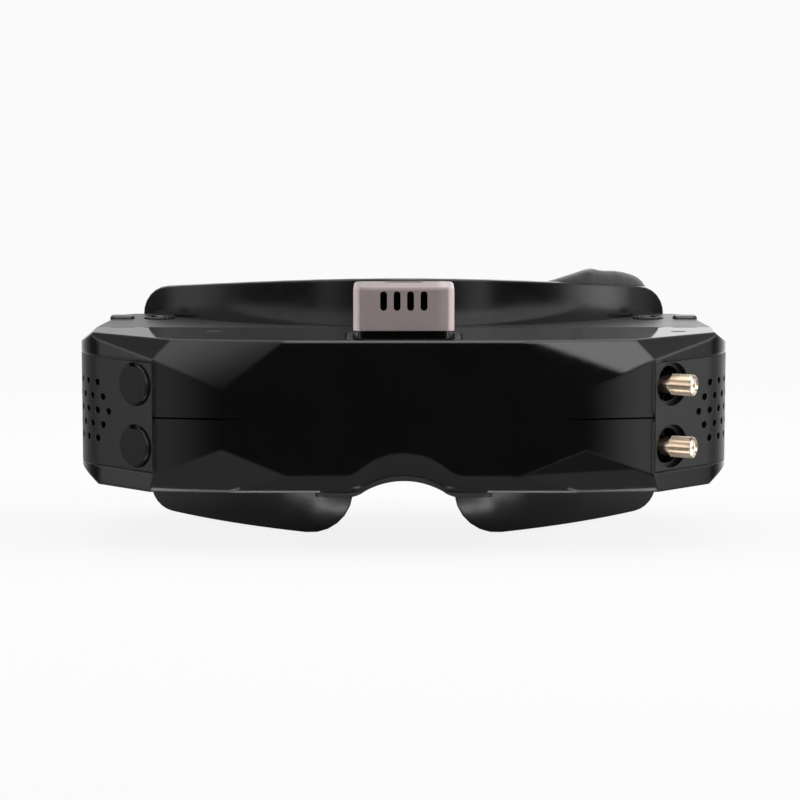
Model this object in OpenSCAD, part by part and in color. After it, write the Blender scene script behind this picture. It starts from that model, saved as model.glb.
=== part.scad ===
// Box-style FPV goggles: two front shells, a rear housing, corner vent panels,
// a curved face plate with a foam pad, sliding optics and a lift-out receiver.
// Heights are measured from the seam between the two front shells and depths
// from the front face; in_frame() moves everything to the part's own origin.

/* [Front shells] */
// Width across the two corner panels
body_w = 185; // [180:0.5:192]
// Height of the top face above the seam
top_h = 22; // [21:0.25:24]
// Depth of the bottom face under the seam
bottom_h = 21.3; // [20.5:0.1:23]
// Depth from the front face to the parting plane of the rear housing
shell_d = 32; // [32:0.5:34]
// Wall of every shell
wall = 2; // [1.6:0.1:2.4]
// Half width of the flat front, out to the crease of the side facets
facet_x = 51; // [46:0.5:55]
// How far the side facet falls back at the corner panel
facet_drop = 3; // [2:0.25:4]
// Height of the crease's upper end, where the upper facet starts
facet_up_z = 8; // [6:0.5:11]
// Depth of the crease's lower end, where the lower facet starts
facet_low_z = 9; // [6:0.5:11]
// Half width of the flat front at the top edge
crest_x = 33; // [26:0.5:42]
// Height of the ridge where it leaves the corner panel
ridge_z = 16.4; // [16:0.1:18]
// Depth under the seam where the front edge turns under
chin_z = 16.5; // [15:0.25:18]
// How far the turned-under front edge runs back
chin_run = 2.3; // [1.5:0.1:3.5]

/* [Corner panels] */
// Distance of the panel's inner edge from the middle
panel_x = 70.4; // [68:0.2:73]
// Angle of the panel's flat from the front face
panel_turn = 42; // [38:1:46]
// Radius of the outer corner
corner_r = 19; // [16:0.5:22]
// Height of the panel's upper edge above the seam
panel_top = 15.4; // [14.5:0.1:15.8]
// Depth of the panel's lower edge under the seam
panel_bottom = 15.7; // [14.5:0.1:16]
// Thickness of the flange behind the panel
panel_flange = 1.2; // [1:0.1:1.6]
// How far the flange laps behind the shells
panel_lap = 1.6; // [1:0.1:2]
// Diameter of an antenna hole
port_d = 12.2; // [11:0.1:12.6]
// Distance from the panel's inner edge to the antenna holes, along the panel
port_s = 6.9; // [6.8:0.1:8]
// Distance between the two antenna holes of a panel
port_pitch = 17.6; // [16:0.2:17.6]
// Diameter of a vent hole
vent_d = 2; // [1.6:0.1:2.6]
// Distance between vent holes along a row
vent_pitch = 4.62; // [4.3:0.02:4.8]
// Distance between rows of vent holes
vent_row = 4; // [3.6:0.1:4.4]
// Distance from the panel's inner edge to the first vent hole
vent_s = 17.8; // [16.5:0.1:18.4]

/* [Rear housing] */
// Half width at the back corners
rear_x = 88.5; // [86:0.25:90]
// Depth of the back corners
rear_d = 60; // [58:0.5:62]
// Depth of the rear wall beside the face plate
ear_d = 66; // [65:0.5:67.5]
// Radius of the back corners
ear_r = 5; // [3:0.5:6]
// Height of the flat side below the bevelled top edge
side_top_z = 18.3; // [17:0.1:19.5]
// Depth of the flat side above the bevelled bottom edge
side_bottom_z = 17; // [16.2:0.1:18.5]
// Width of the bevel along the top edge
top_bevel = 4.2; // [2:0.1:5]
// Width of the bevel along the bottom edge
bottom_bevel = 5.5; // [3:0.1:6.5]

/* [Nose arch] */
// Depth of the arch's axis under the seam
nose_z = 40.1; // [39.5:0.1:40.7]
// Radius of the opening inside the rim
nose_r = 22; // [21.5:0.1:22.5]
// Radius of the opening's feet, where it runs out into the bottom
nose_foot_r = 9; // [8:0.5:10]
// Depth of the axis of the scooped bevel under the seam
scoop_z = 28.2; // [27.5:0.1:29]
// Radius of the scooped bevel at the front face
scoop_r = 18.2; // [17.5:0.1:19]
// Radius of its feet, where it runs out into the chin
scoop_foot_r = 8; // [7:0.5:9]
// Thickness of the soft rim
rim_t = 1.4; // [1:0.1:1.6]
// Half width of the rim's lips under the shell
rim_x = 25; // [21:0.5:27]

/* [Face plate and foam] */
// Radius of the face plate's front surface
plate_r = 100; // [97:0.5:104]
// Depth of the face plate's front surface in the middle
plate_y = 32.6; // [32.6:0.1:34]
// Thickness of the face plate
plate_t = 2.4; // [2:0.1:3]
// Half width of the face plate at its upper corners
plate_x = 77.6; // [76.5:0.2:78.4]
// Height of the face plate in the middle
plate_top = 35.8; // [34:0.2:38]
// Height of its upper corners
plate_corner = 29.4; // [28.6:0.2:30.6]
// Depth of the lowest point of the cheek lobes
lobe_z = 39.3; // [38.5:0.1:40.5]
// Distance of the lobes' inner edges from the middle
lobe_x = 16.2; // [15.4:0.2:17]
// Radius of the lobes' inner corners
lobe_r = 13; // [10:0.5:13]
// Distance of the plate's screws from the middle
plate_screw_x = 50; // [49:0.5:51]
// Thickness of the foam pad
foam_t = 8; // [6:0.5:10]
// Step of the foam in from the plate's edge
foam_step = 1.5; // [1:0.25:2.5]

/* [Optics] */
// Half of the distance between the eyes
eye_x = 32; // [31.5:0.1:32.5]
// Travel of an eye towards the nose
eye_in = 3; // [2:0.25:3]
// Travel of an eye outwards
eye_out = 3.5; // [2.5:0.25:3.5]
// Outer radius of the focusing barrel
barrel_r = 15; // [14:0.1:15]
// Radius of the lens
lens_r = 13; // [12:0.1:13.2]
// Radius of a focus wheel
focus_r = 6.2; // [6:0.05:6.4]
// Depth of the focus wheel's axis under the seam
focus_z = 17.4; // [17.4:0.1:17.8]
// Travel of the focusing barrel each way
focus_run = 1.5; // [1:0.1:1.6]
// Radius of the guide rods
rod_r = 1.2; // [1:0.05:1.4]

/* [Receiver module] */
// Width of the receiver's cap
cap_w = 28.2; // [27:0.2:30]
// Depth of the cap from front to back
cap_d = 17; // [15.5:0.25:17.5]
// Height of the cap's underside above the seam
cap_z = 24.6; // [24.2:0.1:25.4]
// Height of the cap
cap_h = 12.2; // [11:0.1:13]
// How far back the cap's front stands
cap_y = 1.4; // [1.2:0.1:1.8]
// Step of the black base in from the cap
base_step = 1.25; // [1:0.05:1.6]
// Depth of the bay under the top face
bay_d = 14; // [13.5:0.25:15]

/* [Antenna jacks] */
// Diameter of a jack's threaded barrel
jack_d = 6.35; // [6.2:0.05:6.5]
// How far a jack stands out of the panel
jack_out = 7.6; // [6:0.1:8.5]
// Angle of the jacks outwards from square to the panel
jack_turn = 20; // [12:1:22]
// How far a blanking plug stands out of the panel
plug_out = 1.2; // [0.8:0.1:1.6]

/* [Controls] */
// Radius of a jog wheel
jog_r = 4.2; // [3.8:0.1:4.6]
// Distance of the jog wheels from the middle
jog_x = 71.5; // [71:0.1:72]
// Depth of the jog wheels from the front face
jog_y = 54.5; // [53.5:0.1:54.8]
// Length of a key
key_w = 7; // [6:0.2:7.6]
// Distance of the keys from the middle
key_x = 82.6; // [82:0.1:83]
// Travel of a jog wheel or a key when pressed
press = 0.4; // [0.2:0.05:0.5]

/* [Fits] */
// Gap between fixed pieces that sit side by side
fit = 0.15; // [0.1:0.05:0.25]
// Gap round a piece that slides or turns
slip = 0.3; // [0.25:0.05:0.4]
// Gap between two curved faces that rest on each other
seat = 0.03; // [0.01:0.01:0.05]
// Radial play of a shaft in its bore
play = 0.05; // [0.03:0.01:0.08]

/* [Hidden] */

$fn = 64;
big = 300;                 // side of a block that cuts away a half space
half_w = body_w / 2;
inner_top = top_h - wall;
inner_bottom = bottom_h - wall;

// ---- plan of the body -------------------------------------------------
arc_cx = half_w - corner_r;
flat_end_x = arc_cx + corner_r * sin(panel_turn);
flat_len = (flat_end_x - panel_x) / cos(panel_turn);
arc_cy = facet_drop + flat_len * sin(panel_turn) + corner_r * cos(panel_turn);
corner_steps = 12;

function unit(v) = v / norm(v);
// Points of a corner p between a and b, rounded to radius r
function round_corner(a, p, b, r, n = 6) =
    let (u = unit(a - p), v = unit(b - p), half = acos(u * v) / 2,
        c = p + unit(u + v) * r / sin(half), s = p + u * r / tan(half), e = p + v * r / tan(half),
        a0 = atan2(s[1] - c[1], s[0] - c[0]), a1 = atan2(e[1] - c[1], e[0] - c[0]),
        turn = a1 - a0 > 180 ? a1 - a0 - 360 : a1 - a0 < -180 ? a1 - a0 + 360 : a1 - a0)
    [for (k = [0:n]) c + r * [cos(a0 + turn * k / n), sin(a0 + turn * k / n)]];
// A closed outline from [x, y, radius] corners
function rounded(q) = let (n = len(q)) [for (i = [0:n - 1])
    let (a = q[(i + n - 1) % n], p = q[i], b = q[(i + 1) % n])
    each p[2] > 0 ? round_corner([a[0], a[1]], [p[0], p[1]], [b[0], b[1]], p[2]) : [[p[0], p[1]]]];
// The same corners on both sides of the middle line
function both_sides(q) = concat(q, [for (i = [len(q) - 1:-1:0]) [-q[i][0], q[i][1], q[i][2]]]);
function both_sides_plain(q) = concat(q, [for (i = [len(q) - 1:-1:0]) [-q[i][0], q[i][1]]]);
// An outline with its points in the other order
function flipped(p) = [for (i = [len(p) - 1:-1:0]) p[i]];
// Where the line through a along u meets the line through b along v
function meet(a, u, b, v) = let (w = b - a)
    a + u * (w[0] * v[1] - w[1] * v[0]) / (u[0] * v[1] - u[1] * v[0]);
// An outline moved inwards by t; the points run anticlockwise
function inset(p, t) = let (n = len(p)) [for (i = [0:n - 1])
    let (a = p[(i + n - 1) % n], b = p[i], c = p[(i + 1) % n], u = unit(b - a), v = unit(c - b))
    meet(b + t * [-u[1], u[0]], u, b + t * [-v[1], v[0]], v)];

function right_plan() = concat(
    [[facet_x, 0], [panel_x, facet_drop]],
    [for (k = [0:corner_steps]) let (f = panel_turn + (90 - panel_turn) * k / corner_steps)
        [arc_cx + corner_r * sin(f), arc_cy - corner_r * cos(f)]],
    [[half_w, max(shell_d, arc_cy + 0.2)]],
    round_corner([half_w, shell_d], [rear_x, rear_d], [rear_x - 9, ear_d], ear_r),
    [[rear_x - 9, ear_d]]);
function body_plan() = let (r = right_plan()) concat(r, [for (i = [len(r) - 1:-1:0]) [-r[i][0], r[i][1]]]);

// ---- facets of the body -----------------------------------------------
up_a = [facet_x, 0, facet_up_z];
up_b = [panel_x, facet_drop, ridge_z];
up_d = [crest_x, 0, top_h];
up_n = unit(cross(up_b - up_a, up_d - up_a));
low_a = [facet_x, 0, -facet_low_z];
low_b = [panel_x, facet_drop, -chin_z];
low_d = [crest_x, 0, -chin_z];
low_n = unit(cross(low_d - low_a, low_b - low_a));
chin_n = unit([0, chin_z - bottom_h, -chin_run]);
crown_in = 5.4;            // inner end of the corner's top facet, from the panel's edge
crown_out = 15;            // a point of the ridge, from the panel's edge
crown_low = 2;             // how far the ridge lies under the top there
crown_e = [panel_x - crown_in,
    -(up_n[0] * (panel_x - crown_in - up_a[0]) + up_n[2] * (top_h - up_a[2])) / up_n[1], top_h];
crown_q = [panel_x + crown_out, facet_drop + crown_out * tan(panel_turn), top_h - crown_low];
crown_n = unit(cross(crown_q - up_b, crown_e - up_b));
top_side_n = unit([top_h - side_top_z, 0, top_bevel]);
low_side_n = unit([bottom_h - side_bottom_z, 0, -bottom_bevel]);
taper = atan2(half_w - rear_x, rear_d - shell_d);

// The half space beyond a plane through p with the outward normal n
module beyond(p, n)
    translate(p) rotate([0, acos(n[2]), atan2(n[1], n[0])]) translate([-big / 2, -big / 2, 0]) cube(big);

module edge_bevels(t) {
    beyond([half_w, 0, side_top_z] - t * top_side_n, top_side_n);
    beyond([half_w, 0, -side_bottom_z] - t * low_side_n, low_side_n);
    translate([half_w, shell_d, 0]) rotate([0, 0, taper]) {
        beyond([0, 0, side_top_z] - t * top_side_n, top_side_n);
        beyond([0, 0, -side_bottom_z] - t * low_side_n, low_side_n);
    }
}

// The whole body, closed, with every face moved inwards by t
module body_form(t) difference() {
    translate([0, 0, -bottom_h + t]) linear_extrude(top_h + bottom_h - 2 * t)
        polygon(inset(body_plan(), t));
    beyond([0, 0, -chin_z] - t * chin_n, chin_n);
    for (m = [0, 1]) mirror([m, 0, 0]) {
        beyond(up_a - t * up_n, up_n);
        beyond(low_a - t * low_n, low_n);
        beyond(up_b - t * crown_n, crown_n);
        edge_bevels(t);
    }
}

module in_frame() translate([0, -foam_back / 2, foot_z]) children();
// Mirrors its children to the left side when side is -1
module on_side(side) mirror([side < 0 ? 1 : 0, 0, 0]) children();
// The two ends of a length w centred on c
function about(c, w) = [c - w / 2, c + w / 2];
module cyl_y(r, y0, y1) translate([0, y0, 0]) rotate([-90, 0, 0]) cylinder(r = r, h = y1 - y0);
module cyl_x(r, x0, x1) translate([x0, 0, 0]) rotate([0, 90, 0]) cylinder(r = r, h = x1 - x0);
module block(x, y, z) translate([x[0], y[0], z[0]]) cube([x[1] - x[0], y[1] - y[0], z[1] - z[0]]);
// A block with rounded upright edges
module rounded_block(x, y, z, r) translate([0, 0, z[0]]) linear_extrude(z[1] - z[0])
    polygon(rounded([[x[0], y[0], r], [x[1], y[0], r], [x[1], y[1], r], [x[0], y[1], r]]));

// ---- corner panels ----------------------------------------------------
// Stands its children on the panel, s along it from its inner edge: z is outwards
module on_panel(s, z) {
    on_arc = s > flat_len;
    f = on_arc ? panel_turn + (s - flat_len) / corner_r * 180 / PI : panel_turn;
    p = on_arc ? [arc_cx + corner_r * sin(f), arc_cy - corner_r * cos(f)]
        : [panel_x + s * cos(f), facet_drop + s * sin(f)];
    translate([p[0], p[1], z]) rotate([0, 0, f]) rotate([90, 0, 0]) children();
}

// The stretch of the body's side from the panel's inner edge to the parting
// plane, between two depths under the surface and widened by grow
module panel_strip(d0, d1, grow) intersection() {
    translate([0, 0, -panel_bottom - grow]) linear_extrude(panel_top + panel_bottom + 2 * grow) difference() {
        polygon(inset(body_plan(), d0));
        polygon(inset(body_plan(), d1));
    }
    translate([panel_x, facet_drop, 0]) rotate([0, 0, panel_turn]) translate([-grow, -big / 2, -big / 2])
        cube([big, big, big]);
    block([panel_x - 10, half_w + 1], [-1, shell_d], [-big / 2, big / 2]);
}

module vent_holes() for (row = [-2:2]) for (k = [0:3 - max(0, abs(row) - 1)])
    on_panel(vent_s + vent_pitch * (k + abs(row) / 2), row * vent_row)
        translate([0, 0, -6]) cylinder(d = vent_d, h = 8, $fn = 24);

// Stands its children on the antenna holes of a panel, turned outwards by an angle
module port_axes(turn) for (k = [-1, 1]) port_axis(k, turn) children();
module port_axis(k, turn) on_panel(port_s, k * port_pitch / 2) rotate([0, turn, 0]) children();

port_ledge_r = port_d / 2 - 1.1;
flange_back = wall + panel_flange;
board_depth = 7;           // depth of the antenna board's front under the panel
board_post = [6.8, 2.2];   // place of its posts across from a jack and up from it
module vent_panel(posts) difference() {
    union() {
        panel_strip(0, wall, -fit);
        intersection() {
            panel_strip(wall, flange_back, panel_lap);
            body_form(wall);
        }
        if (posts) for (k = [-1, 1]) port_axis(k, jack_turn)
            translate([board_post[0], k * board_post[1], -board_depth]) cylinder(r = 1.5,
                h = board_depth + board_post[0] * tan(jack_turn) - wall / cos(jack_turn) + 0.5);
    }
    port_axes(0) {
        translate([0, 0, -wall]) cylinder(d = port_d, h = wall + 2);
        translate([0, 0, -flange_back - 1]) cylinder(r = port_ledge_r, h = flange_back + 2);
    }
    vent_holes();
}

module left_vent_panel() in_frame() on_side(-1) color([0.16, 0.16, 0.17]) vent_panel(false);
module right_vent_panel() in_frame() color([0.16, 0.16, 0.17]) vent_panel(true);

// ---- front shells -----------------------------------------------------
frame_x0 = eye_x + eye_out + barrel_r + 2.9;    // beam of the optics frame
frame_x1 = frame_x0 + 3.6;
boss_r = 3;
boss_x = frame_x1 + boss_r + fit;    // shell screws and their bosses, from the middle
boss_top_z = top_h - wall - 2.8;
boss_low_z = bottom_h - wall - 2.8;
screw_r = 1.1;
screw_head_r = 2;
screw_l = 12;
bay_x = cap_w / 2 + 2.1;
bay_y0 = cap_y - 0.2;
bay_y1 = cap_y + cap_d + 2.6;
bay_corner = 3.5;
lamp_spots = [[-54, 22], [78, 22]];
lamp_w = 4;
lamp_t = 1.2;

seam_w = 0.22;             // width and depth of the groove along the seam
seam_d = 0.4;
module shell_skin(z0, z1) difference() {
    intersection() {
        difference() { body_form(0); body_form(wall); }
        block([-half_w - 1, half_w + 1], [-1, shell_d], [z0, z1]);
    }
    for (side = [-1, 1]) on_side(side) panel_strip(-1, wall, 0);
    translate([0, 0, -seam_w]) linear_extrude(seam_w) difference() {
        polygon(inset(body_plan(), -1));
        polygon(inset(body_plan(), seam_d));
    }
}

// Stands its children at the four screws that are x from the middle
module four_screws(x) for (side = [-1, 1]) for (z = [-boss_low_z, boss_top_z])
    translate([side * x, 0, z]) children();

// Screw bosses that run from the front wall to the parting plane
module front_bosses(z) for (side = [-1, 1]) difference() {
    translate([side * boss_x, 0, z]) cyl_y(boss_r, wall / 2 + facet_drop, shell_d);
    translate([side * boss_x, 0, z]) cyl_y(screw_r, shell_d - 12, shell_d + 1);
}

module bay_hole(grow, z0, z1) rounded_block([-bay_x - grow, bay_x + grow], [bay_y0 - grow, bay_y1 + grow],
    [z0, z1], bay_corner + grow);

module lamp_slots(grow, z0) for (p = lamp_spots)
    rounded_block([p[0] - lamp_w / 2 - grow, p[0] + lamp_w / 2 + grow],
        [p[1] - lamp_t / 2 - grow, p[1] + lamp_t / 2 + grow], [z0, top_h + 1], lamp_t / 2 + grow - 0.01);

module front_upper_shell() in_frame() color([0.03, 0.03, 0.033]) difference() {
    union() {
        shell_skin(0, top_h + 1);
        intersection() {
            front_bosses(boss_top_z);
            body_form(wall / 2);
        }
        for (side = [-1, 1]) translate([side * board_peg_x, 0, board_peg_z]) cyl_y(1.6, wall / 2, board_y);
    }
    bay_hole(0, 0, top_h + 1);
    lamp_slots(0, inner_top - 1);
}

slot_gap = 0.5;
slider_y1 = shell_d - 2.5;
slider_y0 = slider_y1 - 4.5;
slider_w = 8;
sleeve_y0 = slider_y0 - 1.5;
focus_y1 = slider_y0 - 4.6;
focus_y0 = focus_y1 - 3;
focus_chord = sqrt(pow(focus_r, 2) - pow(max(inner_bottom - focus_z, 0), 2));
// Half of a bell-shaped opening: an arc of radius r about the depth z0, whose foot
// of radius f runs out level at the depth base
function bell_foot(r, z0, f, base) = sqrt(pow(r + f, 2) - pow(z0 - base + f, 2));
function bell(r, z0, f, base) = let (x = bell_foot(r, z0, f, base), turn = asin(x / (r + f)))
    concat([for (k = [0.5:1:7.5]) r * [sin(turn * k / 8), cos(turn * k / 8)] - [0, z0]],
        [for (k = [0:6]) [x, f - base] - f * [sin(turn * (1 - k / 6)), cos(turn * (1 - k / 6))]],
        [[x, -z0]]);
// The opening through the shells, moved inwards by t
cross_z = 0.05;            // how far the feet reach past the faces that they run out into
module nose_tunnel(t, y0 = -1, y1 = shell_d + 12) translate([0, y1, 0]) rotate([90, 0, 0])
    linear_extrude(y1 - y0) polygon(both_sides_plain(
        bell(nose_r + rim_t - t, nose_z, nose_foot_r + t, bottom_h + cross_z + t)));
// The scooped bevel in front of it, moved inwards by t; it falls back as steeply as the chin
chin_a = atan((bottom_h - chin_z) / chin_run);
scoop_end = (nose_z - nose_r - rim_t - scoop_z + scoop_r) / tan(chin_a);
module nose_scoop(t) translate([0, 8, -8 * tan(chin_a)]) rotate([90 - chin_a, 0, 0])
    linear_extrude(10 / cos(chin_a))
        polygon([for (p = both_sides_plain(bell(scoop_r - t, scoop_z, scoop_foot_r + t, chin_z + cross_z + t)))
            [p[0], p[1] * cos(chin_a)]]);
// The wall round the nose arch, solid before the arch is cut
module nose_wall(t, y0, y1) intersection() {
    union() {
        nose_tunnel(-t, y0, y1);
        nose_scoop(-t);
    }
    body_form(0);
    block([-half_w, half_w], [-1, y1], [-bottom_h, 0]);
}

module front_lower_shell() in_frame() color([0.03, 0.03, 0.033]) difference() {
    union() {
        shell_skin(-bottom_h - 1, 0);
        nose_wall(wall, 0, shell_d);
        intersection() {
            front_bosses(-boss_low_z);
            body_form(wall / 2);
        }
    }
    nose_tunnel(0);
    nose_scoop(0);
    for (side = [-1, 1]) on_side(side) {
        block([eye_x - eye_in - focus_chord - slot_gap, eye_x + eye_out + focus_chord + slot_gap],
            [focus_y0 - slot_gap, focus_y1 + slot_gap], [-bottom_h - 1, -inner_bottom + 1]);
        rounded_block([eye_x - eye_in - slider_w / 2 - slot_gap, eye_x + eye_out + slider_w / 2 + slot_gap],
            [slider_y0 - slot_gap, slider_y1 + slot_gap], [-bottom_h - 1, -inner_bottom + 1], 1.5);
    }
}

rim_step_y = focus_y0 - 1.4;    // where the lips narrow in front of the focus wheels
rim_back_x = eye_x - eye_in - focus_chord - slot_gap - 0.6;
// A soft lining of the arch with a lip under the shell on each side
module nose_rim() in_frame() color([0.05, 0.05, 0.05]) difference() {
    union() {
        intersection() {
            nose_tunnel(0, scoop_end + 0.1, shell_d - 1);
            block([-rim_x, rim_x], [0, shell_d], [-bottom_h - rim_t, 0]);
        }
        translate([0, 0, -bottom_h - rim_t]) linear_extrude(rim_t) polygon(rounded(both_sides([
            [rim_x, chin_run + 0.2, 3], [rim_x, rim_step_y - 2, 3], [rim_back_x, rim_step_y, 2],
            [rim_back_x, shell_d - 1, 2]])));
    }
    nose_tunnel(rim_t);
}

// ---- rear housing -----------------------------------------------------
plate_cy = plate_y + plate_r;
plate_ri = plate_r - plate_t;
foam_ri = plate_ri - foam_t;
foam_turn = asin((plate_x - foam_step) / plate_ri);    // half angle that the foam covers
foam_back = plate_cy - foam_ri * cos(foam_turn);
pboss_y = 41;               // where the plate's bosses meet those of the housing
jog_well_r = jog_r + slip + 0.1;
jog_floor = top_h - 1.7;
// Distance of the tapered side from the middle at depth y
function side_x(y) = half_w - (y - shell_d) * tan(taper);

module plate_cut(gap) translate([0, plate_cy, -big / 2]) cylinder(r = plate_r + gap, h = big, $fn = 180);

power_pos = [42, -6];
av_pos = [53, -6];
video_pos = [44, -6];
card_pos = [44, 6];
video_size = [11.4, 3.4];
card_size = [12.4, 2.2];
power_r = 3.6;
av_r = 2.6;

module port_posts() {
    for (z = [-9, -3]) translate([0, 47.8, z]) cyl_x(1.1, port_board_x, half_w);
    for (y = [39.5, 48.5]) translate([0, y, 0]) mirror([1, 0, 0]) cyl_x(1.1, port_board_x, half_w);
}
module key_posts() for (p = [[jog_x - 0.6, 47.2], [85, 49.5]])
    translate([p[0], p[1], board_under]) cylinder(r = 1.4, h = top_h - wall / 2 - board_under);
loop_y0 = ear_d - wall;
loop_x0 = 80.6;
loop_t = 2.4;
loop_h = 38;
foot_h = 26;
loop_bar = 2.7;            // width of the loop's two bars
foot_t = 1.4;
foot_lip = 1.6;

module rear_housing() in_frame() color([0.22, 0.22, 0.23]) difference() {
    union() {
        intersection() {
            difference() { body_form(0); body_form(wall); }
            block([-half_w - 1, half_w + 1], [shell_d, ear_d + 1], [-bottom_h - 1, top_h + 1]);
        }
        intersection() {
            body_form(wall / 2);
            union() {
                four_screws(boss_x) cyl_y(boss_r, shell_d, shell_d + 2.2);
                four_screws(plate_screw_x) cyl_y(boss_r, shell_d, pboss_y);
                port_posts();
            }
        }
        intersection() {
            nose_wall(wall, shell_d, shell_d + 12);
            block([-half_w, half_w], [shell_d, ear_d], [-bottom_h, 0]);
        }
        for (side = [-1, 1]) on_side(side) {
            translate([jog_x, jog_y, inner_top - 1.4]) cylinder(r = jog_well_r + 0.6, h = 1.6);
            key_posts();
        }
    }
    nose_tunnel(0);
    plate_cut(seat);
    for (side = [-1, 1]) on_side(side) {
        translate([jog_x, jog_y, jog_floor]) cylinder(r = jog_well_r, h = 5);
        translate([jog_x, jog_y, inner_top - 3]) cylinder(r = 1.5 + play, h = 9);
        rounded_block([key_x - key_w / 2 - fit, key_x + key_w / 2 + fit],
            [jog_y - key_d / 2 - fit, jog_y + key_d / 2 + fit], [inner_top - 2, top_h + 1], 1.5);
        block([loop_x0 - fit, loop_x0 + loop_t + fit], [loop_y0 - 3, ear_d + 1], about(0, foot_h + 2 * fit));
    }
    four_screws(boss_x) cyl_y(screw_r, shell_d - 1, shell_d + 3);
    four_screws(plate_screw_x) cyl_y(screw_r, pscrew_y - screw_l - 0.5, pboss_y + 1);
    translate([0, power_pos[0], power_pos[1]]) cyl_x(power_r + fit, 80, half_w + 1);
    translate([0, av_pos[0], av_pos[1]]) cyl_x(av_r + fit, 80, half_w + 1);
    for (socket = [[video_pos, video_size], [card_pos, card_size]])
        block([-half_w - 1, -80], about(socket[0][0], socket[1][0] + 2 * fit),
            about(socket[0][1], socket[1][1] + 2 * fit));
}

// ---- face plate and foam ----------------------------------------------
notch_top = 16;
pscrew_y = pboss_y + 4.4;    // where the heads of the plate's screws sit
// Height of the plate's crowned top edge at x
function crown_z(x) = plate_top - (plate_top - plate_corner) * pow(x / plate_x, 2);
function plate_outline() = rounded(both_sides(concat([for (k = [1:2:13]) [k * 5, crown_z(k * 5), 0]],
    [[plate_x, plate_corner, 9], [plate_x - 2.4, -lobe_z + 3.3, 7], [lobe_x, -lobe_z, lobe_r],
        [lobe_x - 1.7, -lobe_z + 14, 5], [6, -notch_top, 4]])));

foot_z = -min([for (p = plate_outline()) p[1]]);    // depth of the lowest point of all

// A shell between two radii about the face plate's axis, cut to an outline
module curved_slab(r0, r1, outline) intersection() {
    translate([0, plate_cy, -lobe_z - 5]) difference() {
        cylinder(r = r1, h = lobe_z + plate_top + 10, $fn = 180);
        translate([0, 0, -1]) cylinder(r = r0, h = lobe_z + plate_top + 12, $fn = 180);
    }
    translate([0, plate_cy, 0]) rotate([90, 0, 0]) linear_extrude(plate_r + 1) polygon(outline);
}

window_h = barrel_r + 1;
window_in = eye_x - eye_in - barrel_r - 0.75;
window_out = eye_x + eye_out + barrel_r + 0.75;
module eye_window() plate_slot(window_in, window_out, window_h);
// A round-ended slot through the plate from x0 to x1, with half height h
module plate_slot(x0, x1, h) translate([0, plate_cy, 0]) rotate([90, 0, 0])
    linear_extrude(plate_r + 2) polygon(rounded([[x0, -h, h - 0.5], [x1, -h, h - 0.5], [x1, h, h - 0.5],
        [x0, h, h - 0.5]]));

air_slot_w = 2.2;
module face_plate() in_frame() color([0.04, 0.04, 0.042]) difference() {
    union() {
        curved_slab(plate_ri, plate_r, flipped(plate_outline()));
        difference() {
            four_screws(plate_screw_x) cyl_y(boss_r - slip, pboss_y, ear_d);
            translate([0, plate_cy, -big / 2]) cylinder(r = (plate_ri + plate_r) / 2, h = big, $fn = 180);
        }
    }
    four_screws(plate_screw_x) {
        cyl_y(screw_r + 0.2, pboss_y - 1, ear_d + 8);
        cyl_y(screw_head_r + 0.3, pscrew_y, ear_d + 8);
    }
    for (side = [-1, 1]) on_side(side) {
        eye_window();
        for (k = [0:2]) plate_slot(2.6 + k * 4.4, 2.6 + k * 4.4 + air_slot_w, 4);
    }
}

foam_open = [[60, 23, 9], [60, -21, 9], [26, -26.5, 7], [11, -9.5, 6]];
module foam_pad() in_frame() color([0.09, 0.09, 0.095]) difference() {
    intersection() {
        curved_slab(foam_ri, plate_ri, inset(flipped(plate_outline()), foam_step));
        translate([0, plate_cy, -big / 2]) linear_extrude(big)
            polygon([[0, 0], [-big * tan(foam_turn), -big], [big * tan(foam_turn), -big]]);
    }
    translate([0, plate_cy, 0]) rotate([90, 0, 0]) linear_extrude(plate_r + 2)
        polygon(rounded(both_sides(foam_open)));
}

// ---- receiver module --------------------------------------------------
liner_t = 1.2;
base_x = cap_w / 2 - base_step;
base_y0 = cap_y + 0.8;
base_y1 = cap_y + cap_d - 0.9;
base_z = top_h - bay_d + liner_t + 3.2;
liner_flare = 1.2;         // how far the bay's mouth widens at its sides and back
module liner_flared_mouth() {
    x = base_x + slip;
    y = base_y1 - base_y0 + 2 * slip;
    translate([0, base_y0 - slip, top_h - liner_flare])
        linear_extrude(2 * liner_flare, scale = [1 + 2 * liner_flare / x, 1 + 2 * liner_flare / y], slices = 1)
            polygon(rounded([[-x, 0, 2.2], [x, 0, 2.2], [x, y, 2.2], [-x, y, 2.2]]));
}
module bay_liner() in_frame() color([0.05, 0.05, 0.055]) difference() {
    union() {
        bay_hole(-fit, top_h - bay_d, top_h);
        intersection() {
            bay_hole(1, inner_top - 1.2, inner_top);
            body_form(wall);
        }
    }
    rounded_block([-base_x - slip, base_x + slip], [base_y0 - slip, base_y1 + slip],
        [top_h - bay_d + liner_t, top_h + 1], 2.2);
    liner_flared_mouth();
}

socket_w = 15;
socket_y = (base_y0 + base_y1) / 2;
pin_pitch = 2;
pin_count = 7;
// Stands its children along the row of pins at height z
module pin_row(z) for (k = [0:pin_count - 1])
    translate([(k - (pin_count - 1) / 2) * pin_pitch, socket_y, z]) children();
module bay_socket() in_frame() color([0.04, 0.04, 0.04]) difference() {
    block([-socket_w / 2, socket_w / 2], [socket_y - 2, socket_y + 2],
        [top_h - bay_d + liner_t, base_z - 0.4]);
    pin_row(top_h - bay_d + liner_t + 0.5) cylinder(r = 0.5, h = 5, $fn = 16);
}

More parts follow.
